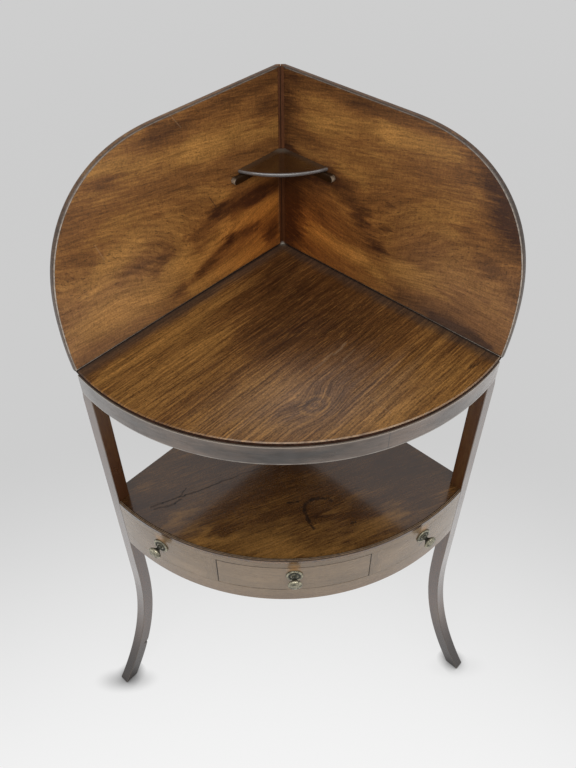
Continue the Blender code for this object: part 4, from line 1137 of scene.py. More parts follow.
def leg_wood(name):
    """Plain dark mahogany of the legs."""
    return wood(name, shades(0.8, (0.50, 0.40, 0.40), 0.32), leg_marks, seed=11.2, rough=0.26,
                polish=polished(), worn=worn_colour(0.22), wave=0.003, flame=0.3, broad=0.5)


# Operators

# How rubbed the top board's edge is, at places from left to right
TOP_RUBBED_AT = (-0.18, -0.03, 0.10, 0.13, 0.20)
TOP_RUBBED = (0.50, 0.90, 0.85, 1.0, 0.8)
TOP_LAST_STEP = 0.001       # draws the last ring in from the walls


class WASHSTAND_OT_top(bpy.types.Operator):
    """Solid top board with a bowed, rounded front edge and the panels' rebate at its back."""

    bl_idname = "washstand.top"
    bl_label = "Top Board"

    def execute(self, context):
        circle = bow_circle(TOP_REACH)
        radius = context.scene.washstand_sizes.board_round
        seat = TOP_HEIGHT - PANEL_REBATE
        step = radius - math.sqrt(radius ** 2 - (radius - PANEL_REBATE) ** 2)
        under = (PANEL_THICK, CORNER_FLAT / 2)
        inside = (-GAP, FILLET * ROOT + GAP)

        def outline(inset, out, half):
            """Bow from wall to wall, then the clipped corner."""
            end = bow_end(circle, TOP_SETBACK + inset, out)
            x, y = on_bow(circle, TOP_SETBACK + inset, np.linspace(-end, end, BOW_STEPS + 1))
            corner_y = CORNER_Y + out / ROOT - half
            return np.column_stack([np.append(x, [half, -half]), np.append(y, [corner_y, corner_y])])

        lower, upper = edge_levels(TOP_UNDER, TOP_HEIGHT, radius)
        levels = [(inset, height, wear_and_highlight, PANEL_THICK - inset, CORNER_FLAT / 2)
                  for inset, height, wear_and_highlight in lower]
        levels += [(*row, *under) for row in upper if row[1] < seat]
        levels += [(step, seat, 1.0, *under), (step, seat, 1.0, *inside)]
        levels += [(*row, *inside) for row in upper if row[1] >= seat]
        inset, height, wear_and_highlight, out, half = levels[-1]
        levels[-1] = (inset, height, wear_and_highlight, out - TOP_LAST_STEP, half)
        rings, wear_and_highlight = slab(outline, levels)
        front = np.append(np.ones(BOW_STEPS + 1), [0.0, 0.0])
        wear_and_highlight = wear_and_highlight * front * np.interp(rings[..., 0], TOP_RUBBED_AT, TOP_RUBBED)
        piece = skin("washstand_top", rings, plan_grain(rings, TOP_GRAIN), wear_and_highlight)
        hang(piece, "stand", "mahogany_top", once("polished top", top_wood), "top_board")
        below = sum(row[1] < TOP_HEIGHT - 0.4 * radius for row in levels) - 1
        # the lower edge gets the near-black material: painted shade under the board's edge
        second_material(piece, once("dark edge", shaded_edge_wood), slice(below * rings.shape[1]))
        return {"FINISHED"}


class WASHSTAND_OT_frieze(bpy.types.Operator):
    """Bowed frieze under the top board."""

    bl_idname = "washstand.frieze"
    bl_label = "Top Frieze"

    def execute(self, context):
        circle = bow_circle(TOP_REACH)
        radius = context.scene.washstand_sizes.joint * 2
        u, v = rounded_box(FRIEZE_THICK, FRIEZE_HIGH - FRIEZE_LOW, radius)
        inset = u + FRIEZE_THICK / 2
        end = bow_end(circle, inset, 0.0)
        rings, grain = bowed_bar(circle, inset, v + (FRIEZE_HIGH + FRIEZE_LOW) / 2, -end, end, BOW_STEPS)
        # the pale rubbed colour on the front's upper and lower arris also paints their highlights
        wear_and_highlight = front_arris(u, v, radius * 0.99, upper=0.9, lower=0.8)
        piece = skin("washstand_frieze", rings, grain, wear_and_highlight)
        hang(piece, "stand", "mahogany_frieze", once("dark veneer", top_frieze_wood), "top_frieze")
        return {"FINISHED"}


FOOT_STEPS = 30
SHOULDER_STEPS = 110
LEVEL_STEPS = 24
PANEL_APART = 0.6           # along the grain, so that the two panels differ
SNAP = 0.002                # points this close to the corner's edge lie on it
CORNER_CLEAR = 0.01         # from the corner's edge to the full wear
LEVEL_WEAR = 0.62           # of the level edge, where the belly's is 1
FILLET_RINGS = 40


def panel_outline(inset):
    """Splash panel as along and up, drawn in by an inset; it starts at the corner, where along is 0.

    The belly is a squared ellipse, along = level + (belly - level) * cos(t) ** p and up the same with
    the sine, and the foot draws in below it as a parabola.
    """
    seat = TOP_HEIGHT - PANEL_REBATE + GAP
    belly = TOP_HEIGHT + PANEL_BELLY_RISE
    t = np.linspace(0, 1, FOOT_STEPS)[:-1]
    turn = np.linspace(0, math.pi / 2, SHOULDER_STEPS)
    power = 2 / SHOULDER_POWER
    level = np.linspace(PANEL_LEVEL, 0.0, LEVEL_STEPS)[1:]
    along = np.concatenate([PANEL_BELLY - (PANEL_BELLY - PANEL_FOOT) * (1 - t) ** 2,
                            PANEL_LEVEL + (PANEL_BELLY - PANEL_LEVEL) * np.abs(np.cos(turn)) ** power,
                            level])
    up = np.concatenate([seat + (belly - seat) * t, belly + (SPLASH_TOP - belly) * np.sin(turn) ** power,
                         np.full(len(level), SPLASH_TOP)])
    run, rise = np.gradient(along), np.gradient(up)
    length = np.hypot(run, rise)
    along = along - inset * rise / length
    up = up + inset * run / length
    up[0] = seat + inset
    along[-1] = 0.0
    return np.append(along, 0.0), np.append(up, seat + inset)


class WASHSTAND_OT_splash(bpy.types.Operator):
    """Two mitred splash panels with rounded shoulders, and the fillet in their corner."""

    bl_idname = "washstand.splash"
    bl_label = "Splash Panels"

    def execute(self, context):
        radius = context.scene.washstand_sizes.panel_round
        turn = np.linspace(0, math.pi / 2, 6)
        inset = radius * (1 - np.sin(turn))
        depth = radius * (1 - np.cos(turn))
        rubbed = 0.2 + 0.8 * np.cos(turn) ** 3
        near, far = 1.25 * radius, 2.2 * radius
        rows = [(far, 0.0, 0.0), (near, 0.0, 0.0), *zip(inset, depth, rubbed)]
        rows += [(i, PANEL_THICK - d, 0.2) for i, d in zip(inset[::-1], depth[::-1])]
        rows += [(far, PANEL_THICK, 0.0)]
        for word, side in SIDES.items():
            self.panel(word, side, rows)
        self.fillet()
        return {"FINISHED"}

    def panel(self, word, side, rows):
        """One panel: its outline at each row's inset, distance out from the wall and wear.

        The corner's edge is mitred up to CORNER_FLAT. The pale rubbing, partly wear and partly a painted
        highlight, grows from the level edge to the belly and leaves out the corner.
        """
        apart = PANEL_APART * (side > 0)
        rings, grain, wear_and_highlight = [], [], []
        for inset, out, rub in rows:
            along, up = panel_outline(inset)
            start = max(-out + GAP, out - (2 * PANEL_THICK - CORNER_FLAT * ROOT))
            along = np.where(along < start + SNAP, start, along)
            x, y = wall_xy(side, along, out)
            rings.append(np.stack([x, y, up], axis=-1))
            grain.append(np.stack([along + apart, up, np.full(len(up), out)], axis=-1))
            corner = np.clip((along - start) / CORNER_CLEAR, 0, 1)
            shoulder = np.clip((along - PANEL_LEVEL) / (PANEL_BELLY - PANEL_LEVEL), 0, 1)
            wear_and_highlight.append(rub * corner * (LEVEL_WEAR + (1 - LEVEL_WEAR) * shoulder ** 2))
        piece = skin("washstand_panel_" + word, rings, grain, wear_and_highlight)
        material = once("figured panel " + word, panel_wood(side))
        hang(piece, "stand", "mahogany_panel", material, "splash_panel_" + word)
        round_once = len(rings[0])
        last_cap, last_ring = slice(-1, None), slice(-2 - round_once, -2)
        corner_strip = slice(round_once - 2, -2, round_once)
        second_material(piece, once("plain back", back_wood), last_cap, last_ring, corner_strip)

    def fillet(self):
        """Three-cornered strip up the joint: a rounded triangle drawn from the seat to the top."""
        across_shares = np.array([0.0, 0.8, 0.97, 0.9, 0.5, 0.0, -0.5, -0.9, -0.97, -0.8])
        back_shares = np.array([0.0, 0.8, 0.97, 1.0, 1.0, 1.0, 1.0, 1.0, 0.97, 0.8])
        edge = FILLET * ROOT
        heights = np.linspace(low("corner_fillet"), high("corner_fillet"), FILLET_RINGS)
        x, z = np.meshgrid(across_shares * edge, heights)
        y = np.broadcast_to(CORNER_Y - GAP / ROOT - back_shares * edge, x.shape)
        piece = skin("washstand_fillet", np.stack([x, y, z], axis=-1), np.stack([z, x, y], axis=-1))
        hang(piece, "stand", "mahogany_panel", once("dull strip", fillet_wood), "corner_fillet")


class WASHSTAND_OT_corner_shelf(bpy.types.Operator):
    """Quarter-round shelf with a rounded nose, on two bearers with half-round ends."""

    bl_idname = "washstand.corner_shelf"
    bl_label = "Corner Shelf"

    def execute(self, context):
        sizes = context.scene.washstand_sizes
        centre, _ = bow_circle(SHELF_REACH, SHELF_RUN)
        end_x, end_y = wall_xy(1, SHELF_RUN, -GAP)
        circle = (centre, math.hypot(end_x, end_y - centre))
        front = CORNER_Y - FILLET * ROOT - 2 * GAP
        half = CORNER_Y - GAP / ROOT - front

        def outline(inset):
            """Front arc between the walls, then the clipped corner."""
            end = bow_end(circle, inset, -GAP)
            x, y = on_bow(circle, inset, np.linspace(-end, end, SHELF_STEPS + 1))
            return np.column_stack([np.append(x, [half, -half]), np.append(y, [front, front])])

        lower, upper = edge_levels(SHELF_UNDER, SHELF_TOP, sizes.nose, 7)
        levels = [(inset, height, 1 - min(inset / sizes.nose, 1)) for inset, height, _ in lower + upper]
        rings, wear_and_highlight = slab(outline, levels)
        piece = skin("washstand_shelf", rings, plan_grain(rings, 0.0), wear_and_highlight)
        hang(piece, "stand", "mahogany_shelf", once("dark shelf", shelf_wood), "corner_shelf")
        for word, side in SIDES.items():
            self.bearer(word, side, sizes.arris)
        return {"FINISHED"}

    def bearer(self, word, side, arris):
        """Bar along the wall: a straight run and a half circle at its free end, whose edge is worn pale and
        also carries a painted highlight.
        """
        half = (BEARER_TOP - BEARER_LOW) / 2
        start = BEARER_THICK + FILLET
        end = SHELF_RUN + BEARER_PROUD - half
        turn = np.linspace(-math.pi / 2, math.pi / 2, 25)
        rows = [(inset * arris, depth * arris) for inset, depth in ((1.0, 0.0), (0.3, 0.3), (0.0, 1.0))]
        rows += [(inset, BEARER_THICK - depth) for inset, depth in rows[::-1]]
        rings, grain, wear_and_highlight = [], [], []
        for inset, depth in rows:
            reach = half - inset
            along = np.concatenate([[start + inset], end + reach * np.cos(turn), [start + inset]])
            up = np.concatenate([[-reach], reach * np.sin(turn), [reach]]) + (BEARER_TOP + BEARER_LOW) / 2
            x, y = wall_xy(side, along, -GAP - depth)
            rings.append(np.stack([x, y, up], axis=-1))
            grain.append(np.stack([along, up, np.full(len(up), depth)], axis=-1))
            free = np.clip((along - SHELF_RUN) / BEARER_PROUD, 0, 1)
            wear_and_highlight.append((0 < depth < BEARER_THICK) * free ** 2)
        piece = skin("washstand_bearer_" + word, rings, grain, wear_and_highlight)
        hang(piece, "stand", "mahogany_shelf", once("brown bearer", bearer_wood), "shelf_bearer_" + word)


# Stretches of the sweep, as shares of its rise from the top: start, stop and rings; the second one is
# close for the knock. The tip below them is rounded.
SWEEP_STRETCHES = ((0.0, 0.69, 44), (0.70, 0.77, 30), (0.78, 0.985, 22))
TIP_SHARE = 0.012
TIP_RINGS = 8


def leg_lines():
    """Front and back line of a front leg's sweep, as along and up, from the post to the floor.

    Below the post the front stands out by reach * (1 - height / rise) ** power, and the back follows
    square to it at the leg's depth.
    """
    def sweep(height):
        """The front's place at a height, then the back's place and height square to it."""
        share = np.clip((SWEEP_RISE - height) / SWEEP_RISE, 0, 1)
        slope = SWEEP_POWER * SWEEP_REACH / SWEEP_RISE * share ** (SWEEP_POWER - 1)
        run = LEG_DEPTH / np.sqrt(1 + slope ** 2)
        front = LEG_FRONT + SWEEP_REACH * share ** SWEEP_POWER
        return front, front - run, height - run * slope

    dense = np.linspace(SWEEP_RISE, 0, 600)
    _, _, back_up = sweep(dense)
    floor = np.interp(0.0, back_up[::-1], dense[::-1])
    tip = 1 - TIP_SHARE * np.linspace(1, 0, TIP_RINGS) ** 1.5
    share = np.concatenate([np.linspace(*stretch) for stretch in SWEEP_STRETCHES] + [tip])
    front_up = SWEEP_RISE * (1 - share)
    front, _, _ = sweep(front_up)
    _, back, back_up = sweep(SWEEP_RISE + (floor - SWEEP_RISE) * share)
    back_up[-1] = 0.0
    return np.column_stack([front, front_up]), np.column_stack([back, back_up])


POST_STEPS = 10
LEDGE = 0.0001                                  # height of the ledge in the frieze's notch
HEAD_DROPS = (0.0, 0.004, 0.010, 0.020, 0.032)  # rings down from that ledge
POST_ENDS = 0.02                                # from the tier and the sweep to the post's rings
BACK_LEG_RINGS = 12
LEG_APART = 1.3                                 # along the grain, so that the front legs differ
LEG_ARRIS = 1.2                                 # of the other pieces' arrises


class WASHSTAND_OT_legs(bpy.types.Operator):
    """Two sabre legs and the square back leg."""

    bl_idname = "washstand.legs"
    bl_label = "Legs"

    def execute(self, context):
        arris = context.scene.washstand_sizes.arris
        notch = FRIEZE_LOW - GAP
        post = [LEG_HEAD, notch + LEDGE] + [notch - drop for drop in HEAD_DROPS]
        post += list(np.linspace(TIER_TOP + POST_ENDS, SWEEP_RISE + POST_ENDS, POST_STEPS))
        front, back = leg_lines()
        front = np.vstack([[(LEG_FRONT, height) for height in post], front])
        back = np.vstack([[(LEG_FRONT - LEG_DEPTH, height) for height in post], back])
        for word, side in SIDES.items():
            sections = [self.section(side, arris, *ends) for ends in zip(front, back)]
            piece = skin("washstand_leg_" + word, *zip(*sections))
            hang(piece, "stand", "mahogany_leg", once("dark leg", leg_wood), "front_leg_" + word)
        self.back_leg(arris)
        return {"FINISHED"}

    def section(self, side, arris, front, back):
        """One ring of a leg with its grain and wear: a rounded box between the front and back line.

        It is drawn in round the tip of the foot, cut back for the frieze in the notch, and shaved to
        the bow below it. The left leg has the knock on its inner edge.
        """
        middle_up = (front[1] + back[1]) / 2
        taper = LEG_TAPER * min(1.0, max(0.0, (SWEEP_RISE - middle_up) / SWEEP_RISE))
        depth = math.hypot(front[0] - back[0], front[1] - back[1])
        u, v = rounded_box(depth, LEG_WIDTH - taper, arris * LEG_ARRIS)
        short = max(0.0, FOOT_ROUND - middle_up)
        drawn = 1 - 2 * (FOOT_ROUND - math.sqrt(FOOT_ROUND ** 2 - short ** 2)) / LEG_DEPTH
        u, v = u * drawn, v * drawn
        share = u / depth + 0.5
        out = v - (LEG_WIDTH + taper) / 2
        along = back[0] + (front[0] - back[0]) * share
        up = back[1] + (front[1] - back[1]) * share
        below = FRIEZE_LOW - GAP - middle_up
        in_notch = below < -LEDGE / 2
        bow = bow_along(bow_circle(TOP_REACH), FRIEZE_THICK + GAP if in_notch else 0.0, out)
        along = np.minimum(along, bow + (0.0 if in_notch else below * SHAVED_SLOPE))
        if side < 0:
            knock = np.exp(-((back[1] - KNOCK_HEIGHT) / KNOCK_REACH) ** 2) * KNOCK_DEPTH
            near_back = np.clip(KNOCK_SHARE - share, 0, KNOCK_SHARE) / KNOCK_SHARE
            along = along + knock * near_back * (out < -KNOCK_CLEAR * LEG_WIDTH)
        x, y = wall_xy(side, along, out)
        near_side = np.abs(np.abs(u) - drawn * depth / 2) < arris
        near_face = np.abs(np.abs(v) - drawn * (LEG_WIDTH - taper) / 2) < arris
        grain = np.stack([up + LEG_APART * side, along, out], axis=-1)
        return np.stack([x, y, up], axis=-1), grain, near_side & near_face

    def back_leg(self, arris):
        """Square post in the corner: a rounded square turned 45 degrees and drawn up."""
        u, v = rounded_box(BACK_LEG, BACK_LEG, arris)
        heights = np.linspace(0.0, high("back_leg"), BACK_LEG_RINGS)[:, None]
        rings = np.stack(np.broadcast_arrays((u - v) * ROOT, (u + v) * ROOT, heights), axis=-1)
        piece = skin("washstand_back_leg", rings, rings[..., [2, 0, 1]])
        hang(piece, "stand", "mahogany_leg", once("dark leg", leg_wood), "back_leg")


class WASHSTAND_OT_tier(bpy.types.Operator):
    """Lower tier: board, double bead, two rails, stiles and dummy drawer fronts."""

    bl_idname = "washstand.tier"
    bl_label = "Lower Tier"

    def execute(self, context):
        joint = context.scene.washstand_sizes.joint
        circle = bow_circle(TIER_REACH)
        self.board(circle)
        self.bead(circle)
        half = OPENING_WIDTH / 2
        for node in ("tier_top_rail", "tier_bottom_rail"):
            self.front(circle, node, joint, BOW_STEPS)
        for word, side in SIDES.items():
            self.front(circle, "drawer_stile_" + word, joint, STILE_STEPS, side, half, half + STILE_WIDTH)
            self.front(circle, "dummy_front_" + word, joint, DUMMY_STEPS, side, half + STILE_WIDTH)
        return {"FINISHED"}

    def front(self, circle, node, radius, steps, side=1, start=None, stop=None):
        """A piece of the bow: from leg to leg, from a plane of constant X to the leg, or between two.

        A stile, which stands between two planes, has its fibres upright.
        """
        bottom, top = low(node), high(node)
        u, v = rounded_box(TIER_FRIEZE_THICK, top - bottom, radius)
        inset = u + TIER_FRIEZE_THICK / 2
        reach = circle[1] - inset
        end = bow_end(circle, inset, -(LEG_WIDTH + GAP))
        first = -end if start is None else np.arcsin(start / reach)
        last = end if stop is None else np.arcsin(stop / reach)
        rings, grain = bowed_bar(circle, inset, v + (bottom + top) / 2, side * first, side * last, steps)
        if stop is not None:
            grain = grain[..., [1, 0, 2]]
        material = once("faded veneer", tier_frieze_wood)
        hang(skin("washstand_" + node, rings, grain), "stand", "mahogany_frieze", material, node)

    def board(self, circle):
        """Board let in round the legs, with a rebate along its front for the bead."""
        inner = LEG_WIDTH + GAP
        notch = BACK_LEG + GAP
        leg_back = LEG_FRONT - LEG_DEPTH - GAP
        corners = [(1, leg_back, -inner), (1, leg_back, 0.0), (1, notch, 0.0), (1, notch, -notch),
                   (-1, notch, 0.0), (-1, leg_back, 0.0), (-1, leg_back, -inner)]
        backs = np.array([wall_xy(*corner) for corner in corners])
        ledge = TIER_TOP - BEAD_HEIGHT - GAP
        back = BEAD_DEPTH + GAP
        levels = [(0.0, TIER_UNDER, 0.0), (0.0, ledge, 0.0), (back, ledge, 0.0), (back, TIER_TOP, 0.0)]

        def outline(inset):
            """Bow between the legs, then the notches."""
            end = bow_end(circle, inset, -inner)
            x, y = on_bow(circle, inset, np.linspace(-end, end, BOW_STEPS + 1))
            return np.vstack([np.column_stack([x, y]), backs])

        rings, wear_and_highlight = slab(outline, levels)
        piece = skin("washstand_tier", rings, plan_grain(rings, TIER_GRAIN), wear_and_highlight)
        hang(piece, "stand", "mahogany_tier", once("stained tier", tier_wood), "tier_board")

    def bead(self, circle):
        """Two small half rounds side by side, carried round the bow."""
        turn = np.linspace(0, math.pi, 9)
        half = (BEAD_DEPTH + BEAD_PROUD) / 4
        first = np.column_stack([-half * np.cos(turn) + half, half * np.sin(turn)])
        second = first + [2 * half, 0]
        crest = np.vstack([first, second[1:]])
        inset = np.concatenate([crest[:, 0], [4 * half, 0.0]]) - BEAD_PROUD
        height = np.concatenate([crest[:, 1] - half, [-BEAD_HEIGHT, -BEAD_HEIGHT]]) + TIER_TOP
        end = bow_end(circle, inset, -(LEG_WIDTH + GAP))
        rings, grain = bowed_bar(circle, inset, height, -end, end, BOW_STEPS)
        rubbed = np.sin(turn) ** 3
        wear_and_highlight = np.concatenate([rubbed, rubbed[1:] * 0.8, [0.0, 0.0]])
        piece = skin("washstand_bead", rings, grain, wear_and_highlight, sharp=60)
        hang(piece, "stand", "mahogany_tier", once("rubbed bead", bead_wood), "tier_bead")


DRAWER_APART = 0.9          # along the grain, so that the drawer differs from its neighbours
BOWED_OVER = 0.96           # a face is bowed when it looks this squarely out of the bow or into it


def dress(node, material):
    """Give a CAD node its material."""
    item = NODES[node]
    item.data.materials.clear()
    item.data.materials.append(material)


def read_all(items, name, width, kind=float):
    """One value of every vertex, loop or face, as an array with a row for each."""
    values = np.empty(len(items) * width, dtype=kind)
    items.foreach_get(name, values)
    return values.reshape(-1, width) if width > 1 else values


class WASHSTAND_OT_drawer(bpy.types.Operator):
    """Bowed drawer front with its dovetail sockets, and the oak lining."""

    bl_idname = "washstand.drawer"
    bl_label = "Drawer"

    def execute(self, context):
        mesh = NODES["drawer_front"].data.copy()
        mesh.name = "washstand_drawer_front"
        self.merge(mesh)
        circle = bow_circle(TIER_REACH)
        points = read_all(mesh.vertices, "co", 3)
        away = points[:, :2] - [0, circle[0]]
        angle = np.arctan2(away[:, 0], -away[:, 1])
        inset = circle[1] - np.hypot(away[:, 0], away[:, 1])
        grain = np.column_stack([angle * circle[1] + DRAWER_APART, points[:, 2], inset])
        set_field(mesh, "grain", "FLOAT_VECTOR", grain)
        mesh.attributes.new("wear_and_highlight", "FLOAT", "POINT")
        mesh.materials.clear()
        self.round(mesh, points, circle)
        piece = show("washstand_drawer_front", mesh)
        material = once("faded veneer", tier_frieze_wood)
        hang(piece, "drawer", "mahogany_frieze", material, "drawer_front")
        for node in ("drawer_side_left", "drawer_side_right", "drawer_back", "drawer_bottom"):
            dress(node, once("drawer oak", oak))
        return {"FINISHED"}

    def round(self, mesh, points, circle):
        """Shade the bowed faces by the bow's own radius and leave every other face flat."""
        mesh.shade_smooth()
        corner = read_all(mesh.loops, "vertex_index", 1, np.int32)
        starts = read_all(mesh.polygons, "loop_start", 1, np.int32)
        face = np.searchsorted(starts, np.arange(len(corner)), side="right") - 1
        flat = read_all(mesh.polygons, "normal", 3)[face]
        radial = points[corner] - [0, circle[0], 0]
        radial[:, 2] = 0
        radial /= np.linalg.norm(radial, axis=1)[:, None]
        facing = np.einsum("ij,ij->i", radial, flat)
        bowed = (np.abs(facing) > BOWED_OVER)[:, None]
        normals = np.where(bowed, radial * np.sign(facing)[:, None], flat)
        mesh.normals_split_custom_set(normals.tolist())

    def merge(self, mesh):
        """Join the loose triangles of a copied node into one surface."""
        work = bmesh.new()
        work.from_mesh(mesh)
        bmesh.ops.remove_doubles(work, verts=work.verts, dist=GAP / 30)
        work.to_mesh(mesh)
        work.free()


class WASHSTAND_OT_knobs(bpy.types.Operator):
    """Three turned knobs on ringed plates, with their nuts."""

    bl_idname = "washstand.knobs"
    bl_label = "Knobs"

    def execute(self, context):
        material = once("rubbed brass", old_brass)
        circle = bow_circle(TIER_REACH)
        edge = math.asin(OPENING_WIDTH / 2 / circle[1])
        leg = bow_end(circle, 0.0, -LEG_WIDTH)
        place = edge + (leg - edge) * KNOB_PLACE_SHARE
        for word, angle, body in (("left", -place, "stand"), ("drawer", 0.0, "drawer"),
                                  ("right", place, "stand")):
            for node, profile in (("knob_plate_" + word, self.plate()), ("knob_" + word, self.knob())):
                rings, wear_and_highlight = self.turn(circle, angle, profile)
                hang(skin("washstand_" + node, rings, rings, wear_and_highlight, 70), body, "old_brass", material, node)
            dress("knob_nut_" + word, material)
        return {"FINISHED"}

    def plate(self):
        """Radius, reach and wear down the plate's face, from its hole out to the rim and behind."""
        face_shares = [(0.30, 1.02, 0.6), (0.38, 1.00, 0.7), (0.46, 0.92, 0.3), (0.52, 0.55, 0.0),
                       (0.60, 0.44, 0.0), (0.68, 0.50, 0.0), (0.75, 0.80, 0.5), (0.84, 0.90, 1.0),
                       (0.93, 0.78, 0.9), (0.99, 0.42, 0.5), (1.0, 0.05, 0.0)]
        profile_shares = np.vstack([[(0.15, 1.0, 0.3)], smooth_line(face_shares),
                                    [(0.98, 0.0, 0.0), (0.15, 0.0, 0.0)]])
        return profile_shares * [PLATE_RADIUS, PLATE_THICK, 1.0]

    def knob(self):
        """Radius, reach and wear from the crown down over the head and the neck to the shank."""
        base = PLATE_THICK + GAP
        body = KNOB_REACH - base
        head_shares = [(0.03, 1.0, 0.7), (0.35, 0.985, 0.6), (0.66, 0.945, 0.6), (0.90, 0.87, 0.9),
                       (1.0, 0.77, 0.8), (0.96, 0.67, 0.2), (0.80, 0.58, 0.0), (0.58, 0.47, 0.0)]
        neck_shares = [(1.0, 0.32, 0.0), (0.96, 0.20, 0.0), (1.18, 0.10, 0.2), (1.18, 0.0, 0.0)]
        line = [(KNOB_RADIUS * r, base + body * h, w) for r, h, w in head_shares]
        line += [(NECK_RADIUS * r, base + body * h, w) for r, h, w in neck_shares]
        shank_end = CORNER_Y - TIER_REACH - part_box("knob_drawer")[1].y
        shank = [(SHANK_RADIUS, base, 0.0), (SHANK_RADIUS, shank_end, 0.0)]
        return np.vstack([smooth_line(line), shank])

    def turn(self, circle, angle, profile):
        """Turn a profile about the line that goes square out of the bow at an angle."""
        x, y = on_bow(circle, 0.0, angle)
        out = np.array([math.sin(angle), -math.cos(angle), 0.0])
        across = np.array([math.cos(angle), math.sin(angle), 0.0])
        spin = np.linspace(0, 2 * math.pi, 64, endpoint=False)
        radius, reach, wear_and_highlight = profile.T
        ring = np.cos(spin)[:, None] * across + np.sin(spin)[:, None] * [0.0, 0.0, 1.0]
        seat = np.array([x, y, KNOB_HEIGHT]) + out * GAP
        rings = seat + radius[:, None, None] * ring[None] + (reach[:, None] * out)[:, None]
        return rings, np.clip(wear_and_highlight, 0, 1)[:, None]


class WASHSTAND_OT_carcass(bpy.types.Operator):
    """Rails, runners, blocks and screws that stay hidden from the front."""

    bl_idname = "washstand.carcass"
    bl_label = "Carcass"

    def execute(self, context):
        deal_words = ("back_rail", "glue_block", "runner", "guide", "kicker", "stop")
        for node in sorted(NODES):
            if any(word in node for word in deal_words):
                dress(node, once("dry deal", deal))
            elif "screw" in node:
                dress(node, once("dull iron", iron))
        return {"FINISHED"}


# A lamp's place, target, width and height, and its share of the power that is set for it
AIM = (0.0, -0.25, 0.75)
LOW_AIM = (0.0, -0.2, 0.50)
KEY_LAMPS = {"key_light": ((-0.35, -2.40, 2.90), AIM, 2.6, 1.8, 1.0),
             "fill_light": ((1.50, -1.60, 2.30), AIM, 1.4, 1.4, 0.22)}
LOW_LAMPS = {"low_left": ((-1.35, -0.75, 0.15), LOW_AIM, 1.4, 0.6, 1.0),
             "low_right": ((1.35, -0.75, 0.15), LOW_AIM, 1.4, 0.6, 1.0)}
COOL = (0.86, 0.93, 1.0)
WHITE = (1.0, 1.0, 1.0)
FLOOR_REACH = 9.0
POOL_PLACE = (-0.08, -1.60, 0.0)                # middle of the paler part of the floor
POOL_EDGES = (2.00, 0.978)                      # distances between which the floor gets paler
NEAR_GLOW = 0.92                                # share of the floor's own light near the stand
FAR_EDGES = (1.5, 4.0)                          # distances between which that share grows to 1
FLOOR_MATT = (0.8, 0.8, 0.8, 1.0)
CONTACT_REACH = 0.020
FOOT_SHADE = (0.074, 0.032)                     # reach of the oval under a front foot
FOOT_SHADE_SHIFT = 0.008
FOOT_SHADE_SHARES = {"left": 0.52, "right": 0.10}


def soft_light(name, place, target, width, height, power, colour):
    """Area light at a place that faces a target and isn't itself seen."""
    lamp = bpy.data.lights.new(name, "AREA")
    lamp.shape = "RECTANGLE"
    lamp.size = width
    lamp.size_y = height
    lamp.energy = power
    lamp.color = colour
    item = show(name, lamp)
    item.location = place
    item.rotation_euler = (Vector(target) - Vector(place)).to_track_quat("-Z", "Y").to_euler()
    item.visible_camera = False


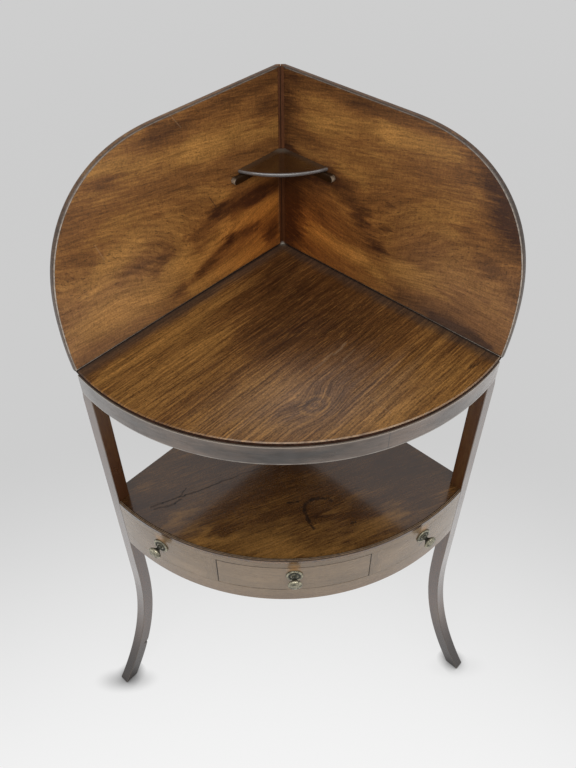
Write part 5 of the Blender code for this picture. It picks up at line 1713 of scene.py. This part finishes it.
class WASHSTAND_OT_stage(bpy.types.Operator):
    """Pale floor, even room light, soft lamps and the camera."""

    bl_idname = "washstand.stage"
    bl_label = "Studio"

    def execute(self, context):
        studio = context.scene.washstand_studio
        self.floor(studio)
        self.room(studio)
        for lamps, power, colour in ((KEY_LAMPS, studio.key, WHITE), (LOW_LAMPS, studio.low, COOL)):
            for name, (place, target, width, height, share) in lamps.items():
                soft_light(name, place, target, width, height, power * share, colour)
        self.camera(context.scene)
        context.scene.view_settings.view_transform = "Standard"
        return {"FINISHED"}

    def grey(self, sh, studio):
        """Grey of the background, with a paler pool in front of the stand."""
        away = sh.vector("DISTANCE", sh.place(), POOL_PLACE, "Value")
        return sh.mix(away.step(*POOL_EDGES), (studio.back_grey,) * 3, (studio.front_grey,) * 3)

    def floor(self, studio):
        """Large pale floor: its own grey to the camera and to gloss, plain pale to other light.

        The feet darken it where they touch and, as the photograph's light does, in a soft oval each.
        """
        mesh = bpy.data.meshes.new("studio_floor")
        corners = [(-1, -1, 0), (1, -1, 0), (1, 1, 0), (-1, 1, 0)]
        mesh.from_pydata((np.array(corners) * FLOOR_REACH).tolist(), [], [(0, 1, 2, 3)])
        sh = Shader("studio floor")
        contact = sh.node("ShaderNodeAmbientOcclusion", {"samples": 16}, {"Distance": CONTACT_REACH}, "AO")
        flat = sh.plan(sh.place())
        touch = contact ** 1.6
        for word, side in SIDES.items():
            x, y = wall_xy(side, LEG_FRONT + SWEEP_REACH - LEG_DEPTH / 2, -LEG_WIDTH / 2)
            shade = sh.spot(flat, (x, y - FOOT_SHADE_SHIFT), FOOT_SHADE)
            touch = touch * (1.0 - shade * FOOT_SHADE_SHARES[word])
        eye, gloss, clear = sh.ray("Camera"), sh.ray("Glossy"), sh.ray("Transmission")
        colour = sh.mix(gloss, self.grey(sh, studio), (studio.front_grey,) * 3)
        seen = sh.mix(1.0, colour, sh.joined(touch, touch, touch), "MULTIPLY")
        glow = sh.node("ShaderNodeEmission", None, {"Color": seen, "Strength": 1.0})
        matt = sh.node("ShaderNodeBsdfDiffuse", None, {"Color": FLOOR_MATT})
        far = sh.vector("LENGTH", sh.place(), (0, 0, 0), "Value").step(*FAR_EDGES)
        share = eye.most(gloss).most(clear) * (far * (1 - NEAR_GLOW) + NEAR_GLOW)
        mesh.materials.append(sh.finish(sh.node("ShaderNodeMixShader", None, {0: share, 1: matt, 2: glow})))
        show("studio_floor", mesh)

    def room(self, studio):
        """Even light from all round, which the camera sees as the same grey as the floor."""
        sh = Shader("studio room", world=True)
        even = sh.node("ShaderNodeBackground", None, {"Strength": studio.sky})
        shine = sh.node("ShaderNodeBackground", None, {"Strength": studio.shine})
        seen = sh.node("ShaderNodeBackground", None, {"Color": (*(studio.back_grey,) * 3, 1.0)})
        lit = sh.node("ShaderNodeMixShader", None, {0: sh.ray("Glossy"), 1: even, 2: shine})
        surface = sh.node("ShaderNodeMixShader", None, {0: sh.ray("Camera"), 1: lit, 2: seen})
        bpy.context.scene.world = sh.finish(surface)

    def camera(self, scene):
        """Camera at the photograph's angle: its yaw about Z, its pitch down and its roll."""
        data = bpy.data.cameras.new("photo_camera")
        item = show("photo_camera", data)
        scene.camera = item
        cos, sin = math.cos(CAMERA_YAW), math.sin(CAMERA_YAW)
        level = math.cos(CAMERA_PITCH)
        ahead = Vector((sin * level, cos * level, -math.sin(CAMERA_PITCH)))
        right = Vector((cos, -sin, 0))
        up = right.cross(ahead)
        cos, sin = math.cos(CAMERA_ROLL), math.sin(CAMERA_ROLL)
        right, up = cos * right + sin * up, -sin * right + cos * up
        item.matrix_world = Matrix((right, up, -ahead)).transposed().to_4x4()
        item.location = CAMERA_PLACE
        data.sensor_fit = "VERTICAL"
        data.sensor_height = SENSOR_HEIGHT
        data.lens = CAMERA_FOCUS * SENSOR_HEIGHT / IMAGE_HEIGHT
        data.shift_x, data.shift_y = CAMERA_SHIFT


class WASHSTAND_PT_panel(bpy.types.Panel):
    """Sidebar list of the pieces and their settings."""

    bl_idname = "WASHSTAND_PT_panel"
    bl_label = "Corner Washstand"
    bl_space_type = "VIEW_3D"
    bl_region_type = "UI"
    bl_category = "Washstand"

    def draw(self, context):
        for name in ("washstand_sizes", "washstand_finish", "washstand_studio"):
            settings = getattr(context.scene, name)
            box = self.layout.box()
            for key in settings.__annotations__:
                box.prop(settings, key)
        for operator in OPERATORS:
            self.layout.operator(operator.bl_idname)


OPERATORS = (WASHSTAND_OT_top, WASHSTAND_OT_frieze, WASHSTAND_OT_splash, WASHSTAND_OT_corner_shelf,
             WASHSTAND_OT_legs, WASHSTAND_OT_tier, WASHSTAND_OT_drawer, WASHSTAND_OT_knobs,
             WASHSTAND_OT_carcass, WASHSTAND_OT_stage)
GROUPS = {"washstand_sizes": WashstandSizes, "washstand_finish": WashstandFinish,
          "washstand_studio": WashstandStudio}


def register():
    """Register the settings, the operators and the panel."""
    for name, group in GROUPS.items():
        bpy.utils.register_class(group)
        setattr(bpy.types.Scene, name, bpy.props.PointerProperty(type=group))
    for operator in OPERATORS:
        bpy.utils.register_class(operator)
    bpy.utils.register_class(WASHSTAND_PT_panel)


def unregister():
    """Take everything out again."""
    bpy.utils.unregister_class(WASHSTAND_PT_panel)
    for operator in reversed(OPERATORS):
        bpy.utils.unregister_class(operator)
    for name, group in GROUPS.items():
        delattr(bpy.types.Scene, name)
        bpy.utils.unregister_class(group)


def main():
    """Make every piece in order."""
    register()
    for operator in OPERATORS:
        group, name = operator.bl_idname.split(".")
        getattr(getattr(bpy.ops, group), name)()
    bpy.context.view_layer.update()


if __name__ == "__main__":
    main()
